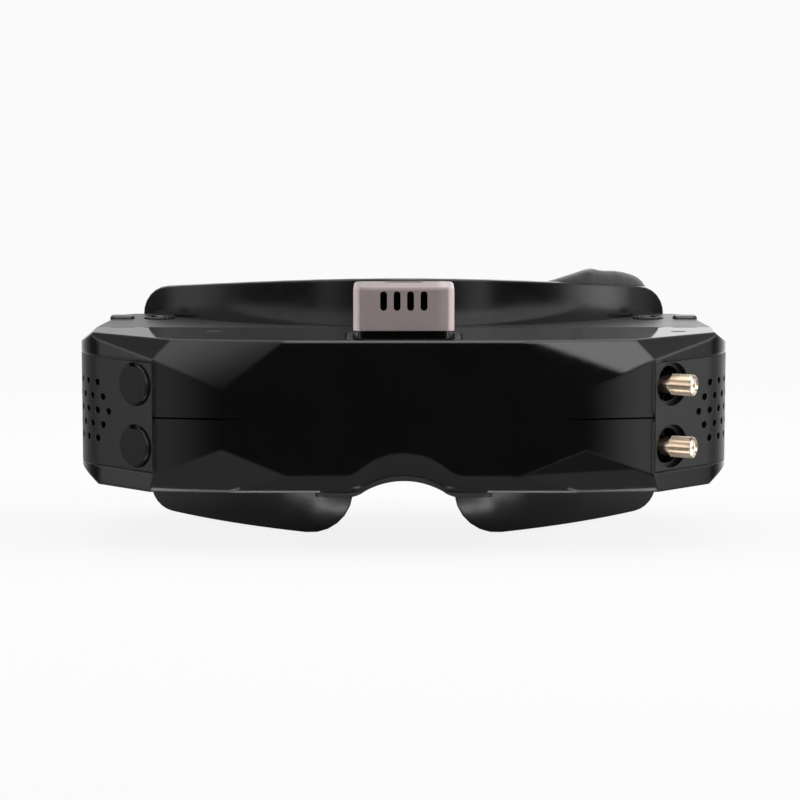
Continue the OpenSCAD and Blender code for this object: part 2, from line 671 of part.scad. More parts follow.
vent_slot_w = 1.9;
vent_slot_h = 5.5;
vent_slot_top = 1.1;         // distance of the slots' upper ends under the cap's top
cap_slot_pitch = 3.75;
cap_wall = 1.2;
module module_cap() in_frame() color([0.66, 0.6, 0.6]) difference() {
    rounded_block([-cap_w / 2, cap_w / 2], [cap_y, cap_y + cap_d], [cap_z, cap_z + cap_h], 2);
    rounded_block([-cap_w / 2 + cap_wall, cap_w / 2 - cap_wall], [cap_y + cap_wall, cap_y + cap_d - cap_wall],
        [cap_z - 1, cap_z + cap_h - cap_wall], 1);
    for (k = [-1.5:1:1.5]) translate([k * cap_slot_pitch, 0, cap_z + cap_h - vent_slot_top - vent_slot_h / 2])
        rotate([90, 0, 0]) translate([0, 0, -cap_y - cap_wall - 1]) linear_extrude(cap_wall + 2)
            polygon(rounded([for (c = [[-1, -1], [1, -1], [1, 1], [-1, 1]])
                [c[0] * vent_slot_w / 2, c[1] * vent_slot_h / 2, vent_slot_w / 2 - 0.02]]));
    rounded_block([-5.6, 5.6], [cap_y + cap_d - 4.5, cap_y + cap_d - 1.5],
        [cap_z + cap_h - 0.6, cap_z + cap_h + 1], 1.2);
}

base_wall = 1.5;
module base_hollow(t, z0, z1)
    rounded_block([-base_x + t, base_x - t], [base_y0 + t, base_y1 - t], [z0, z1], 0.8);
module module_base() in_frame() color([0.05, 0.05, 0.055]) difference() {
    union() {
        rounded_block([-base_x, base_x], [base_y0, base_y1], [base_z, cap_z], 1.6);
        rounded_block([-cap_w / 2 + cap_wall + fit, cap_w / 2 - cap_wall - fit],
            [cap_y + cap_wall + fit, cap_y + cap_d - cap_wall - fit], [cap_z - 1, cap_z + 1.4], 1);
    }
    base_hollow(base_wall, base_z + 3.4, cap_z + 3);
    base_hollow(base_wall + 0.8, base_z + 1.4, cap_z + 3);
    block(about(0, socket_w + 0.6), about(socket_y, 4.6), [base_z - 1, base_z + 2]);
}

board_t = 1;
rx_z = base_z + 3.4;
module module_board() in_frame() color([0.05, 0.2, 0.12])
    base_hollow(base_wall + fit, rx_z, rx_z + board_t);
module module_shields() in_frame() color([0.75, 0.75, 0.76]) for (side = [-1, 1]) on_side(side)
    rounded_block([0.6, base_x - 2.4], [base_y0 + 2.6, base_y1 - 2.6],
        [rx_z + board_t, rx_z + board_t + 2.4], 0.6);
module module_header() in_frame() color([0.8, 0.65, 0.3]) {
    pin_row(base_z - 2.6) cylinder(r = 0.35, h = rx_z - base_z + 2.6, $fn = 16);
    block([-socket_w / 2 + 0.4, socket_w / 2 - 0.4], [socket_y - 1.6, socket_y + 1.6], [rx_z - 1.2, rx_z]);
}

// ---- antenna ports ----------------------------------------------------
plug_r = port_d / 2 - slip / 2;
plug_edge = 0.7;
module blanking_plug(k) on_side(-1) port_axis(k, 0) difference() {
    union() {
        translate([0, 0, -flange_back - 1.5]) cylinder(r = port_ledge_r - slip, h = flange_back + 1.5);
        translate([0, 0, -wall]) cylinder(r = plug_r, h = wall + plug_out - plug_edge);
        translate([0, 0, plug_out - plug_edge]) cylinder(r1 = plug_r, r2 = plug_r - plug_edge, h = plug_edge);
    }
    translate([-1.6, plug_r - 0.9, -0.6]) cube([3.2, 2, 3]);
}
module left_upper_plug() in_frame() color([0.07, 0.07, 0.075]) blanking_plug(1);
module left_lower_plug() in_frame() color([0.07, 0.07, 0.075]) blanking_plug(-1);

jack_r = jack_d / 2;
jack_step = 0.3;           // step down from the thread to the shank inside
jack_bore_r = 2.3;
jack_back = board_depth - 1.6;
module antenna_jack(k) port_axis(k, jack_turn) difference() {
    union() {
        cylinder(r = jack_r, h = jack_out);
        translate([0, 0, -jack_back]) cylinder(r = jack_r - jack_step, h = jack_back + 1);
        translate([0, 0, -board_depth]) cylinder(r = 4.4, h = board_depth - jack_back, $fn = 6);
    }
    translate([0, 0, jack_out - 5]) cylinder(r = jack_bore_r, h = 6);
}
module upper_jack() in_frame() color([0.83, 0.66, 0.42]) antenna_jack(1);
module lower_jack() in_frame() color([0.83, 0.66, 0.42]) antenna_jack(-1);
module jack_insulators() in_frame() color([0.93, 0.93, 0.9]) port_axes(jack_turn) difference() {
    translate([0, 0, jack_out - 5]) cylinder(r = jack_bore_r - 0.02, h = 3.1);
    translate([0, 0, jack_out - 6]) cylinder(r = 0.64, h = 8);
}
module jack_contacts() in_frame() color([0.85, 0.7, 0.35]) port_axes(jack_turn) difference() {
    translate([0, 0, jack_out - 5]) cylinder(r = 0.62, h = 3.9, $fn = 24);
    translate([0, 0, jack_out - 2.6]) cylinder(r = 0.3, h = 3, $fn = 24);
}
module antenna_board() in_frame() color([0.05, 0.2, 0.12]) on_panel(port_s, 0) rotate([0, jack_turn, 0])
    rounded_block([-5.4, board_post[0] + 2.4], about(0, port_pitch + 10.4),
        [-board_depth - board_t, -board_depth], 1);

// ---- optics -----------------------------------------------------------
post_x0 = eye_x - eye_in - 11.6;
rod_y = focus_y0 - 3.4;
lug_r = rod_r + 1.3;
frame_top_t = 1.2;
frame_low_t = 1;
rod_z = min(inner_top - frame_top_t, inner_bottom - frame_low_t) - lug_r - 0.4;
beam_y0 = rod_y - 3.4;
beam_y1 = rod_y + 2.8;
module optics_frame() {
    difference() {
        union() {
            block([frame_x0, frame_x1], [beam_y0, beam_y1], [-inner_bottom, inner_top]);
            for (z = [[-inner_bottom, -rod_z + 2.2], [rod_z - 2.2, inner_top]])
                block([post_x0, post_x0 + 2.2], [beam_y0, beam_y1], z);
            block([post_x0, frame_x1], [beam_y0, beam_y1], [inner_top - frame_top_t, inner_top]);
            block([post_x0, frame_x1], [beam_y0, beam_y1], [-inner_bottom, frame_low_t - inner_bottom]);
        }
        for (k = [-1, 1]) translate([0, rod_y, k * rod_z]) cyl_x(rod_r, post_x0 - 1, frame_x1 + 1);
    }
}
module left_optics_frame() in_frame() on_side(-1) color([0.12, 0.12, 0.13]) optics_frame();
module right_optics_frame() in_frame() color([0.12, 0.12, 0.13]) optics_frame();
module guide_rods() in_frame() color([0.7, 0.7, 0.72]) for (side = [-1, 1]) for (k = [-1, 1]) on_side(side)
    translate([0, rod_y, k * rod_z]) cyl_x(rod_r, post_x0, frame_x1);

panel_y = 8.2;
box_x = 11.6;
box_z = 11;
box_y1 = sleeve_y0 - 2.5;
sleeve_y1 = plate_y - slip;
sleeve_r = barrel_r + 1.5;
lug_x = 6;
focus_pin_r = 1.3;
// A box round the display, a round sleeve for the barrel and lugs on the rods
module carriage() difference() {
    union() {
        block([eye_x - box_x, eye_x + box_x], [panel_y, box_y1], [-box_z, box_z]);
        translate([eye_x, 0, 0]) cyl_y(barrel_r - 1, box_y1, sleeve_y0);
        translate([eye_x, 0, 0]) cyl_y(sleeve_r, sleeve_y0, sleeve_y1);
        for (k = [-1, 1]) {
            translate([0, rod_y, k * rod_z]) cyl_x(lug_r, eye_x - lug_x, eye_x + lug_x);
            block(about(eye_x, 2 * lug_x), about(rod_y, 4), k > 0 ? [box_z - 0.5, rod_z - lug_r + 1]
                : [-rod_z + lug_r - 1, -box_z + 0.5]);
        }
        translate([eye_x, 0, -focus_z]) cyl_y(focus_pin_r, focus_y1 - 0.5, sleeve_y0 + 1.5);
        translate([eye_x, 0, -focus_z]) cyl_y(focus_pin_r - play, focus_y0 - 0.3, focus_y1);
        block([eye_x - 2, eye_x + 2], [focus_y1 + slip, sleeve_y0 + 1.5], [-focus_z - 1.4, -box_z]);
    }
    block(about(eye_x, 2 * box_x - 2.4), [panel_y + 2.6, box_y1 - 1.4], about(0, 2 * box_z - 2.4));
    block(about(eye_x, 2 * box_x - 1.6), [panel_y - 1, panel_y + 2.7], about(0, 2 * box_z - 1.6));
    translate([eye_x, 0, 0]) cyl_y(lens_r - 3.5, box_y1 - 2, sleeve_y0 + 1);
    translate([eye_x, 0, 0]) cyl_y(barrel_r + play, sleeve_y0, sleeve_y1 + 1);
    for (k = [-1, 1]) translate([0, rod_y, k * rod_z])
        cyl_x(rod_r + play, eye_x - lug_x - 1, eye_x + lug_x + 1);
}
module left_carriage() in_frame() on_side(-1) color([0.1, 0.1, 0.11]) carriage();
module right_carriage() in_frame() color([0.1, 0.1, 0.11]) carriage();

module display() {
    block([eye_x - box_x + 0.8, eye_x + box_x - 0.8], [panel_y, panel_y + 1], [-box_z + 0.8, box_z - 0.8]);
    block([eye_x - 8.4, eye_x + 8.4], [panel_y + 1, panel_y + 2.4], [-6.6, 6.6]);
}
module left_display() in_frame() on_side(-1) color([0.1, 0.12, 0.2]) display();
module right_display() in_frame() color([0.1, 0.12, 0.2]) display();

barrel_y0 = sleeve_y0 + focus_run + 0.3;
barrel_y1 = 43;
lens_y = 38.5;
module barrel() translate([eye_x, 0, 0]) difference() {
    union() {
        cyl_y(barrel_r, barrel_y0, sleeve_y1 + 1.7 + focus_run);
        cyl_y(barrel_r - 0.1, sleeve_y1 + 1, barrel_y1);
    }
    cyl_y(lens_r - 1.2, barrel_y0 - 1, barrel_y1 + 1);
    cyl_y(lens_r, lens_y - 2.4, lens_y + 2.4);
    translate([0, barrel_y1, 0]) rotate([90, 0, 0]) translate([0, 0, -0.5])
        cylinder(r1 = lens_r + 0.9, r2 = lens_r - 1.2, h = 2.4);
}
module left_barrel() in_frame() on_side(-1) color([0.06, 0.06, 0.06]) barrel();
module right_barrel() in_frame() color([0.06, 0.06, 0.06]) barrel();

lens_bulge = 30;           // radius of the lens faces
lens_edge = 1;             // half thickness of the lens at its edge
// One face of the lens, from the edge to the middle
function lens_face(side) = [for (k = [8:-1:1]) let (r = lens_r * k / 8)
    [r, side * (lens_edge + sqrt(pow(lens_bulge, 2) - r * r) - sqrt(pow(lens_bulge, 2) - pow(lens_r, 2)))]];
lens_half = lens_edge + lens_bulge - sqrt(pow(lens_bulge, 2) - pow(lens_r, 2));
module lens() translate([eye_x, lens_y, 0]) rotate([-90, 0, 0])
    rotate_extrude()
        polygon(concat([[0, -lens_half]], flipped(lens_face(-1)), lens_face(1), [[0, lens_half]]));
module left_lens() in_frame() on_side(-1) color([0.5, 0.7, 0.75, 0.5]) lens();
module right_lens() in_frame() color([0.5, 0.7, 0.75, 0.5]) lens();

focus_teeth = 20;
module focus_wheel() translate([eye_x, 0, -focus_z]) difference() {
    cyl_y(focus_r, focus_y0, focus_y1);
    cyl_y(focus_pin_r, focus_y0 - 1, focus_y1 + 1);
    for (k = [0:focus_teeth - 1]) rotate([0, k * 360 / focus_teeth, 0]) translate([focus_r + 0.25, 0, 0])
        cyl_y(0.6, focus_y0 - 1, focus_y1 + 1, $fn = 16);
}
module left_focus_wheel() in_frame() on_side(-1) color([0.06, 0.06, 0.06]) focus_wheel();
module right_focus_wheel() in_frame() color([0.06, 0.06, 0.06]) focus_wheel();

slider_out = 1.6;
module eye_slider() difference() {
    union() {
        block([eye_x - 2.5, eye_x + 2.5], [slider_y0 + 0.6, slider_y1 - 0.6], [-bottom_h, -sleeve_r + 0.6]);
        rounded_block([eye_x - slider_w / 2, eye_x + slider_w / 2], [slider_y0, slider_y1],
            [-bottom_h - slider_out, -inner_bottom - slip], 1);
    }
    translate([eye_x, 0, 0]) cyl_y(sleeve_r, slider_y0 - 1, slider_y1 + 1);
    for (k = [-1:1]) block([eye_x + k * 2.2 - 0.4, eye_x + k * 2.2 + 0.4], [slider_y0 - 1, slider_y1 + 1],
        [-bottom_h - slider_out - 1, -bottom_h - slider_out + 0.6]);
}
module left_eye_slider() in_frame() on_side(-1) color([0.06, 0.06, 0.06]) eye_slider();
module right_eye_slider() in_frame() color([0.06, 0.06, 0.06]) eye_slider();

// ---- boards, fans and sockets -----------------------------------------
board_y = wall + 1.6;
board_peg_x = 44;
board_peg_z = 3;
board_x = 47;
module main_board() in_frame() color([0.05, 0.2, 0.12])
    translate([0, board_y + board_t, 0]) rotate([90, 0, 0])
    linear_extrude(board_t) polygon(both_sides_plain([[board_x, -5], [board_x, 15], [bay_x + 2, 15],
        [bay_x + 2, 6.5]]));

fin_count = 6;
module heat_sink() in_frame() color([0.55, 0.55, 0.57]) {
    block([-14, 14], [board_y + board_t, board_y + board_t + 1.2], [-4, 6]);
    for (k = [0:fin_count - 1]) block([-14 + k * 27 / (fin_count - 1), -13 + k * 27 / (fin_count - 1)],
        [board_y + board_t + 1, board_y + board_t + 6], [-4, 6]);
}

fan_x0 = 67.4;
fan_t = 7;
fan_y = 34.5;
fan_half = 14.6;
fan_foot = 4;
fan_hole = 13.4;
fan_tip = 12.8;
fan_hub = 5.5;
fan_pin = 0.75;
blades = 7;
module fan_frame() difference() {
    union() {
        difference() {
            block([fan_x0, fan_x0 + fan_t], [fan_y - fan_half, fan_y + fan_half], [-fan_half, fan_half]);
            translate([0, fan_y, 0]) cyl_x(fan_hole, fan_x0 + 1, fan_x0 + fan_t + 1);
            translate([0, fan_y, 0]) cyl_x(fan_hole, fan_x0 - 1, fan_x0 + 2);
        }
        translate([0, fan_y, 0]) cyl_x(fan_hub, fan_x0, fan_x0 + 1);
        translate([0, fan_y, 0]) for (a = [45:90:315]) rotate([a, 0, 0])
            block([fan_x0, fan_x0 + 1], [-1, 1], [fan_hub - 1, fan_hole + 1]);
        translate([0, fan_y, 0]) cyl_x(fan_pin - play, fan_x0, fan_x0 + 5);
        for (k = [-1, 1]) block([fan_x0 + 1, fan_x0 + fan_t - 1], [fan_y - fan_foot, fan_y + fan_foot],
            k > 0 ? [fan_half - 0.1, inner_top] : [-inner_bottom, -fan_half + 0.1]);
    }
    for (y = [-1, 1]) for (z = [-1, 1]) translate([0, fan_y + y * 12.6, z * 12.6])
        cyl_x(1, fan_x0 - 1, fan_x0 + fan_t + 1);
}
module left_fan_frame() in_frame() on_side(-1) color([0.06, 0.06, 0.06]) fan_frame();
module right_fan_frame() in_frame() color([0.06, 0.06, 0.06]) fan_frame();

module fan_rotor() translate([0, fan_y, 0]) difference() {
    union() {
        cyl_x(fan_hub, fan_x0 + 1 + slip, fan_x0 + fan_t - 0.4);
        for (k = [0:blades - 1]) rotate([k * 360 / blades, 0, 0]) translate([fan_x0 + 1.8, 0, fan_hub - 1])
            rotate([0, 0, 38]) translate([1.2, -2.6, 0]) cube([0.8, 5.2, fan_tip - fan_hub]);
    }
    cyl_x(fan_pin, fan_x0, fan_x0 + 5.3);
}
module left_fan_rotor() in_frame() on_side(-1) color([0.08, 0.08, 0.08]) fan_rotor();
module right_fan_rotor() in_frame() color([0.08, 0.08, 0.08]) fan_rotor();

// ---- controls ---------------------------------------------------------
key_d = 4.4;
key_up = 0.9;
board_under = top_h - 5.6;
switch_top = board_under + 1.4;
jog_low = jog_floor + press + 0.15;
jog_top = top_h + press + 0.15;
jog_shaft_r = 1.5;
key_board_x = jog_x - 2.7;
module key_boards() in_frame() color([0.05, 0.2, 0.12]) for (side = [-1, 1]) on_side(side) {
    block([key_board_x, key_x + 3.4], [jog_y - 9, jog_y + 3], [board_under - board_t, board_under]);
    for (x = [jog_x, key_x])
        block([x - 2.6, x + 2.6], [jog_y - 2.6, jog_y + 2.6], [board_under - 0.1, switch_top]);
}
stem_z = switch_top + press + 0.1;
module jog_shaft() translate([jog_x, jog_y, stem_z]) cylinder(r = jog_shaft_r, h = jog_low + 1.4 - stem_z);
module left_jog_shaft() in_frame() on_side(-1) color([0.7, 0.7, 0.72]) jog_shaft();
module right_jog_shaft() in_frame() color([0.7, 0.7, 0.72]) jog_shaft();
module jog_wheel() translate([jog_x, jog_y, 0]) difference() {
    translate([0, 0, jog_low]) cylinder(r = jog_r, h = jog_top - jog_low);
    translate([0, 0, jog_low - 1]) cylinder(r = jog_shaft_r + play, h = 2.45);
    translate([0, 0, jog_top - 0.5]) cylinder(r1 = jog_r - 2, r2 = jog_r - 1.4, h = 1);
    for (k = [0:17]) rotate([0, 0, k * 20]) translate([jog_r + 0.2, 0, jog_low - 1])
        cylinder(r = 0.45, h = 5, $fn = 16);
}
module left_jog_wheel() in_frame() on_side(-1) color([0.06, 0.06, 0.06]) jog_wheel();
module right_jog_wheel() in_frame() color([0.06, 0.06, 0.06]) jog_wheel();

// A key: cap through the top wall, flange under it and a stem to its switch
module key() {
    rounded_block([key_x - key_w / 2, key_x + key_w / 2], [jog_y - key_d / 2, jog_y + key_d / 2],
        [inner_top - 0.9, top_h + key_up], 1.3);
    intersection() {
        rounded_block([key_x - key_w / 2 - 0.6, key_x + key_w / 2 + 0.6],
            [jog_y - key_d / 2 - 0.6, jog_y + key_d / 2 + 0.6], [inner_top - 1, inner_top], 1.5);
        body_form(wall + play);
    }
    translate([key_x, jog_y, stem_z]) cylinder(r = 1, h = inner_top - 0.95 - stem_z);
}
module power_key() in_frame() color([0.06, 0.06, 0.06]) key();
module record_key() in_frame() on_side(-1) color([0.06, 0.06, 0.06]) key();

port_board_x = fan_x0 + fan_t + 3;
module port_boards() in_frame() color([0.05, 0.2, 0.12]) {
    block([port_board_x - board_t, port_board_x], [power_pos[0] - 4.8, av_pos[0] + 4],
        about(power_pos[1], 10.8));
    block([-port_board_x, -port_board_x + board_t], [37.2, 51], [-9.5, 9]);
}
module power_jack() in_frame() color([0.08, 0.08, 0.08]) translate([0, power_pos[0], power_pos[1]]) {
    difference() {
        union() {
            cyl_x(power_r, side_x(power_pos[0]) - 5, side_x(power_pos[0]) - 0.4);
            block([port_board_x, side_x(power_pos[0] + 4.5) - wall - 0.1], [-4.5, 4.5], [-5, 5]);
        }
        cyl_x(2.8, port_board_x + 1.4, side_x(power_pos[0]) + 1);
    }
    cyl_x(1, port_board_x + 1, side_x(power_pos[0]) - 2);
}
module av_jack() in_frame() color([0.08, 0.08, 0.08]) translate([0, av_pos[0], av_pos[1]]) difference() {
    union() {
        cyl_x(av_r, side_x(av_pos[0]) - 5, side_x(av_pos[0]) - 0.4);
        block([port_board_x, side_x(av_pos[0] + 3.2) - wall - 0.1], [-3.2, 3.2], [-3, 3]);
    }
    cyl_x(1.8, port_board_x + 0.8, side_x(av_pos[0]) + 1);
}
module video_socket() in_frame() color([0.7, 0.7, 0.72])
    translate([0, video_pos[0], video_pos[1]]) on_side(-1) {
    x1 = side_x(video_pos[0] + 6) - 0.5;
    difference() {
        block([port_board_x, x1], about(0, video_size[0]), about(0, video_size[1]));
        block([port_board_x + 1, x1 + 1], about(0, video_size[0] - 0.8), about(0, video_size[1] - 0.8));
    }
    block([port_board_x + 0.5, x1 - 1.5], about(0, video_size[0] - 3.2), about(0, 0.8));
}
module card_socket() in_frame() color([0.7, 0.7, 0.72]) translate([0, card_pos[0], card_pos[1]]) on_side(-1) {
    x1 = side_x(card_pos[0] + 6) - 0.5;
    difference() {
        block([port_board_x, x1], about(0, card_size[0]), about(0, card_size[1]));
        block([port_board_x + 1, x1 + 1], about(0, card_size[0] - 1.2), about(0, card_size[1] - 1));
    }
}

// ---- strap loops, screws and lamps ------------------------------------
// A loop whose foot goes through a slot in the housing and spreads behind it
module strap_loop() {
    difference() {
        loop_plate(0, rear_d - 2, foam_back, 4);
        loop_plate(1, ear_d + loop_bar, foam_back - loop_bar, 1.5);
        body_form(0);
    }
    difference() {
        block([loop_x0, loop_x0 + loop_t], [rear_d - 5, ear_d + 1], [-foot_h / 2, foot_h / 2]);
        body_form(wall + foot_t);
    }
    intersection() {
        block([loop_x0 - foot_lip, loop_x0 + loop_t + foot_lip], [rear_d - 5, ear_d], about(0, foot_h));
        difference() {
            body_form(wall);
            body_form(wall + foot_t);
        }
    }
}
// A plate in the loop's plane; grow makes it thicker, for cutting
module loop_plate(grow, y0, y1, r) translate([loop_x0 - grow, 0, 0]) rotate([90, 0, 90])
    linear_extrude(loop_t + 2 * grow) polygon(rounded([
        [y0, -loop_h / 2 + 3 * grow, 1.5], [y1, -loop_h / 2 + 3 * grow, r],
        [y1, loop_h / 2 - 3 * grow, r], [y0, loop_h / 2 - 3 * grow, 1.5]]));
module left_strap_loop() in_frame() on_side(-1) color([0.08, 0.08, 0.085]) strap_loop();
module right_strap_loop() in_frame() color([0.08, 0.08, 0.085]) strap_loop();

// A screw's head from y0 backwards, with a cross recess
module cross_head(y0, h) difference() {
    cyl_y(screw_head_r, y0, y0 + h);
    block([-1.4, 1.4], [y0 + h - 0.6, y0 + h + 1], [-0.3, 0.3]);
    block([-0.3, 0.3], [y0 + h - 0.6, y0 + h + 1], [-1.4, 1.4]);
}
module shell_screws() in_frame() color([0.6, 0.6, 0.62]) four_screws(boss_x) {
    cyl_y(screw_r, shell_d - 8, shell_d + 2.2);
    cross_head(shell_d + 2.2, 1.4);
}
module plate_screws() in_frame() color([0.6, 0.6, 0.62]) four_screws(plate_screw_x) {
    cyl_y(screw_r, pscrew_y - screw_l, pscrew_y);
    cross_head(pscrew_y, 1.4);
}
module top_lamps() in_frame() color([0.2, 0.2, 0.22]) difference() {
    lamp_slots(-0.02, inner_top);
    block([-half_w, half_w], [0, shell_d], [top_h - 0.35, top_h + 2]);
}

front_upper_shell();
front_lower_shell();
nose_rim();
rear_housing();
left_vent_panel();
right_vent_panel();
face_plate();
foam_pad();
bay_liner();
bay_socket();
module_cap();
module_base();
module_board();
module_shields();
module_header();
left_upper_plug();
left_lower_plug();
upper_jack();
lower_jack();
jack_insulators();
jack_contacts();
antenna_board();
left_optics_frame();
right_optics_frame();
guide_rods();
left_carriage();
right_carriage();
left_display();
right_display();
left_barrel();
right_barrel();
left_lens();
right_lens();
left_focus_wheel();
right_focus_wheel();
left_eye_slider();
right_eye_slider();
main_board();
heat_sink();
left_fan_frame();
right_fan_frame();
left_fan_rotor();
right_fan_rotor();
left_jog_shaft();
right_jog_shaft();
left_jog_wheel();
right_jog_wheel();
power_key();
record_key();
key_boards();
port_boards();
power_jack();
av_jack();
video_socket();
card_socket();
left_strap_loop();
right_strap_loop();
shell_screws();
plate_screws();
top_lamps();
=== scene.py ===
import math

import bpy
import bmesh
from mathutils import Matrix, Vector


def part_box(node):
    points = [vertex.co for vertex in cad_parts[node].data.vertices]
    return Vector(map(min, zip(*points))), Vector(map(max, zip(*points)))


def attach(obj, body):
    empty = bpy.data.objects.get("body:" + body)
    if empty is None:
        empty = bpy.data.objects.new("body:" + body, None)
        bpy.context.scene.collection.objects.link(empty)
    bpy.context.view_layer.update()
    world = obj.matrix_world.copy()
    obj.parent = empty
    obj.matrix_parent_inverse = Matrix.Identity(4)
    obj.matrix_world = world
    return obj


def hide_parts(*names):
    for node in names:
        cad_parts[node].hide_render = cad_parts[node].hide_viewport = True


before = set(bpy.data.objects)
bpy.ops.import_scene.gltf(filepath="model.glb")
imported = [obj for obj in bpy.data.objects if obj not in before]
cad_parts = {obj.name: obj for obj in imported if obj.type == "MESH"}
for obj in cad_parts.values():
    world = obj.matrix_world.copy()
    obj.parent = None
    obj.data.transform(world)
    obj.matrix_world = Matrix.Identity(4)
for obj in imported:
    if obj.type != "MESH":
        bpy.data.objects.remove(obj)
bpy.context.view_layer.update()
scene = bpy.context.scene
scene.view_settings.view_transform = "Standard"
MM = 0.001


# ---- camera -----------------------------------------------------------
# A long lens a metre in front of the goggles and 8 degrees above them, level,
# with the middle of the goggles a little right of and below the middle of the frame.
CAMERA_TILT = math.radians(8)
CAMERA_AWAY = 1.0
CAMERA_LENS = 157.2
aim = Vector((-1.06, -13.0, 40.45)) * MM     # the point it looks at
camera = bpy.data.objects.new("camera", bpy.data.cameras.new("camera"))
scene.collection.objects.link(camera)
camera.data.lens = CAMERA_LENS
camera.data.clip_start = 0.05
camera.location = aim + CAMERA_AWAY * Vector((0, -math.cos(CAMERA_TILT), math.sin(CAMERA_TILT)))
camera.rotation_euler = (math.pi / 2 - CAMERA_TILT, 0, 0)
scene.camera = camera


# ---- studio -----------------------------------------------------------
# A pale table under a large overhead softbox and a smaller one on each side. The room
# that the gloss shows is a tent of grey card with bright and dim cards on it.
class Wire:
    """One output of a shader node; sums and products of wires add Math nodes."""

    def __init__(self, tree, socket=None):
        self.tree, self.socket = tree, socket

    def node(self, kind, inputs=(), output=0, **settings):
        """A new shader node whose inputs are numbers, colours or wires."""
        made = self.tree.nodes.new("ShaderNode" + kind)
        for name, value in settings.items():
            setattr(made, name, value)
        for name, value in dict(inputs).items():
            if isinstance(value, Wire):
                self.tree.links.new(value.socket, made.inputs[name])
            else:
                made.inputs[name].default_value = value
        return Wire(self.tree, made.outputs[output]) if made.outputs else None

    def math(self, operation, *values):
        return self.node("Math", enumerate(values), operation=operation)

    def __add__(self, other): return self.math("ADD", self, other)
    def __radd__(self, other): return self.math("ADD", other, self)
    def __sub__(self, other): return self.math("SUBTRACT", self, other)
    def __rsub__(self, other): return self.math("SUBTRACT", other, self)
    def __mul__(self, other): return self.math("MULTIPLY", self, other)
    def __rmul__(self, other): return self.math("MULTIPLY", other, self)
    def __truediv__(self, other): return self.math("DIVIDE", self, other)
    def __pow__(self, other): return self.math("POWER", self, other)

    def between(self, low, high):
        """0 below low, 1 above high and smooth in between."""
        return self.node("MapRange", {"Value": self, "From Min": low, "From Max": high},
                         interpolation_type="SMOOTHSTEP")

    def band(self, first, last):
        """1 between two soft edges, each given by where it starts and where it ends."""
        return self.between(*first) * (1 - self.between(*last))

    def parts(self):
        """The three numbers of a vector."""
        return [self.node("SeparateXYZ", {0: self}, output=k) for k in range(3)]

    def mix(self, low, high):
        """The colour low where this is 0 and high where it is 1."""
        made = self.tree.nodes.new("ShaderNodeMix")
        made.data_type = "RGBA"
        self.tree.links.new(self.socket, made.inputs[0])
        for slot, value in ((6, low), (7, high)):
            if isinstance(value, Wire):
                self.tree.links.new(value.socket, made.inputs[slot])
            else:
                made.inputs[slot].default_value = (*value, 1)
        return Wire(self.tree, made.outputs[2])


def empty_material(name):
    material = bpy.data.materials.new(name)
    material.use_nodes = True
    material.node_tree.nodes.clear()
    return material, Wire(material.node_tree)


PALE = 0.956          # the background, just under white
AMBIENT = 0.15        # and how much of it lights the goggles
world = bpy.data.worlds.new("studio")
scene.world = world
world.use_nodes = True
world.node_tree.nodes.clear()
air = Wire(world.node_tree)
camera_ray = air.node("LightPath", output="Is Camera Ray")
glossy_ray = air.node("LightPath", output="Is Glossy Ray")
glass_ray = air.node("LightPath", output="Is Transmission Ray")
shown = camera_ray.math("MAXIMUM", camera_ray, glossy_ray)
shown = shown.math("MAXIMUM", shown, glass_ray)
sky = air.node("Background", {"Color": (1, 1, 1, 1), "Strength": AMBIENT + (PALE - AMBIENT) * shown})
air.node("OutputWorld", {"Surface": sky})

FLOOR_HALF = 1.2      # half the table, and distances from its middle, in metres
FLOOR_LIT = 0.2       # out to here the table shows its own light and shadow
FLOOR_WHITE = 0.4     # and from here it is as pale as the room
BOUNCE = 0.15         # the gloss sees the table only this close; past it, the dark room
bpy.ops.object.select_all(action="DESELECT")
bpy.ops.mesh.primitive_plane_add(size=2 * FLOOR_HALF, location=(0, 0, 0))
table = bpy.context.object
table.name = "table"
material, make = empty_material("table_white")
place = make.node("TexCoord", output="Object")
across, along, _ = place.parts()
out = (across * across + along * along) ** 0.5
to_camera = make.node("LightPath", output="Is Camera Ray")
to_gloss = make.node("LightPath", output="Is Glossy Ray")
lit = make.node("BsdfDiffuse", {"Color": (0.42, 0.42, 0.42, 1)})
soft = make.node("BsdfDiffuse", {"Color": (0.12, 0.12, 0.12, 1)})
glow = make.node("Emission", {"Color": (1, 1, 1, 1), "Strength": 0.846})
lifted = make.node("AddShader", {0: soft, 1: glow})
plain = make.node("Emission", {"Color": (1, 1, 1, 1), "Strength": PALE})
far_white = make.node("MixShader", {0: out.between(FLOOR_LIT, FLOOR_WHITE), 1: lifted, 2: plain})
for_camera = make.node("MixShader", {0: to_camera, 1: lit, 2: far_white})
past = to_gloss * out.between(BOUNCE, BOUNCE + 0.03)
clear = make.node("BsdfTransparent", {})
make.node("OutputMaterial", {"Surface": make.node("MixShader", {0: past, 1: for_camera, 2: clear})})
table.data.materials.append(material)

TENT_R = 2.0
DARK_ROOM = 0.016     # its grey, and how bright the four cards on it are
KEY, FILL, ARCH, OVERHEAD = 3.7, 2.3, 4.5, 2.2
bpy.ops.object.select_all(action="DESELECT")
bpy.ops.mesh.primitive_uv_sphere_add(segments=64, ring_count=32, radius=TENT_R, location=(0, 0, 0))
tent = bpy.context.object
tent.name = "tent"
tent.visible_camera = tent.visible_diffuse = tent.visible_shadow = False
tent.visible_transmission = tent.visible_volume_scatter = False
material, make = empty_material("tent_cards")
place = make.node("TexCoord", output="Object")
right, back, up = (part / TENT_R for part in place.parts())
turn = right.math("ARCTAN2", right, back * -1) * (180 / math.pi)     # from the front, right is +
rise = up.math("ARCSINE", up) * (180 / math.pi)
away = turn.math("ABSOLUTE", turn)
right_half = turn.between(-1, 1)
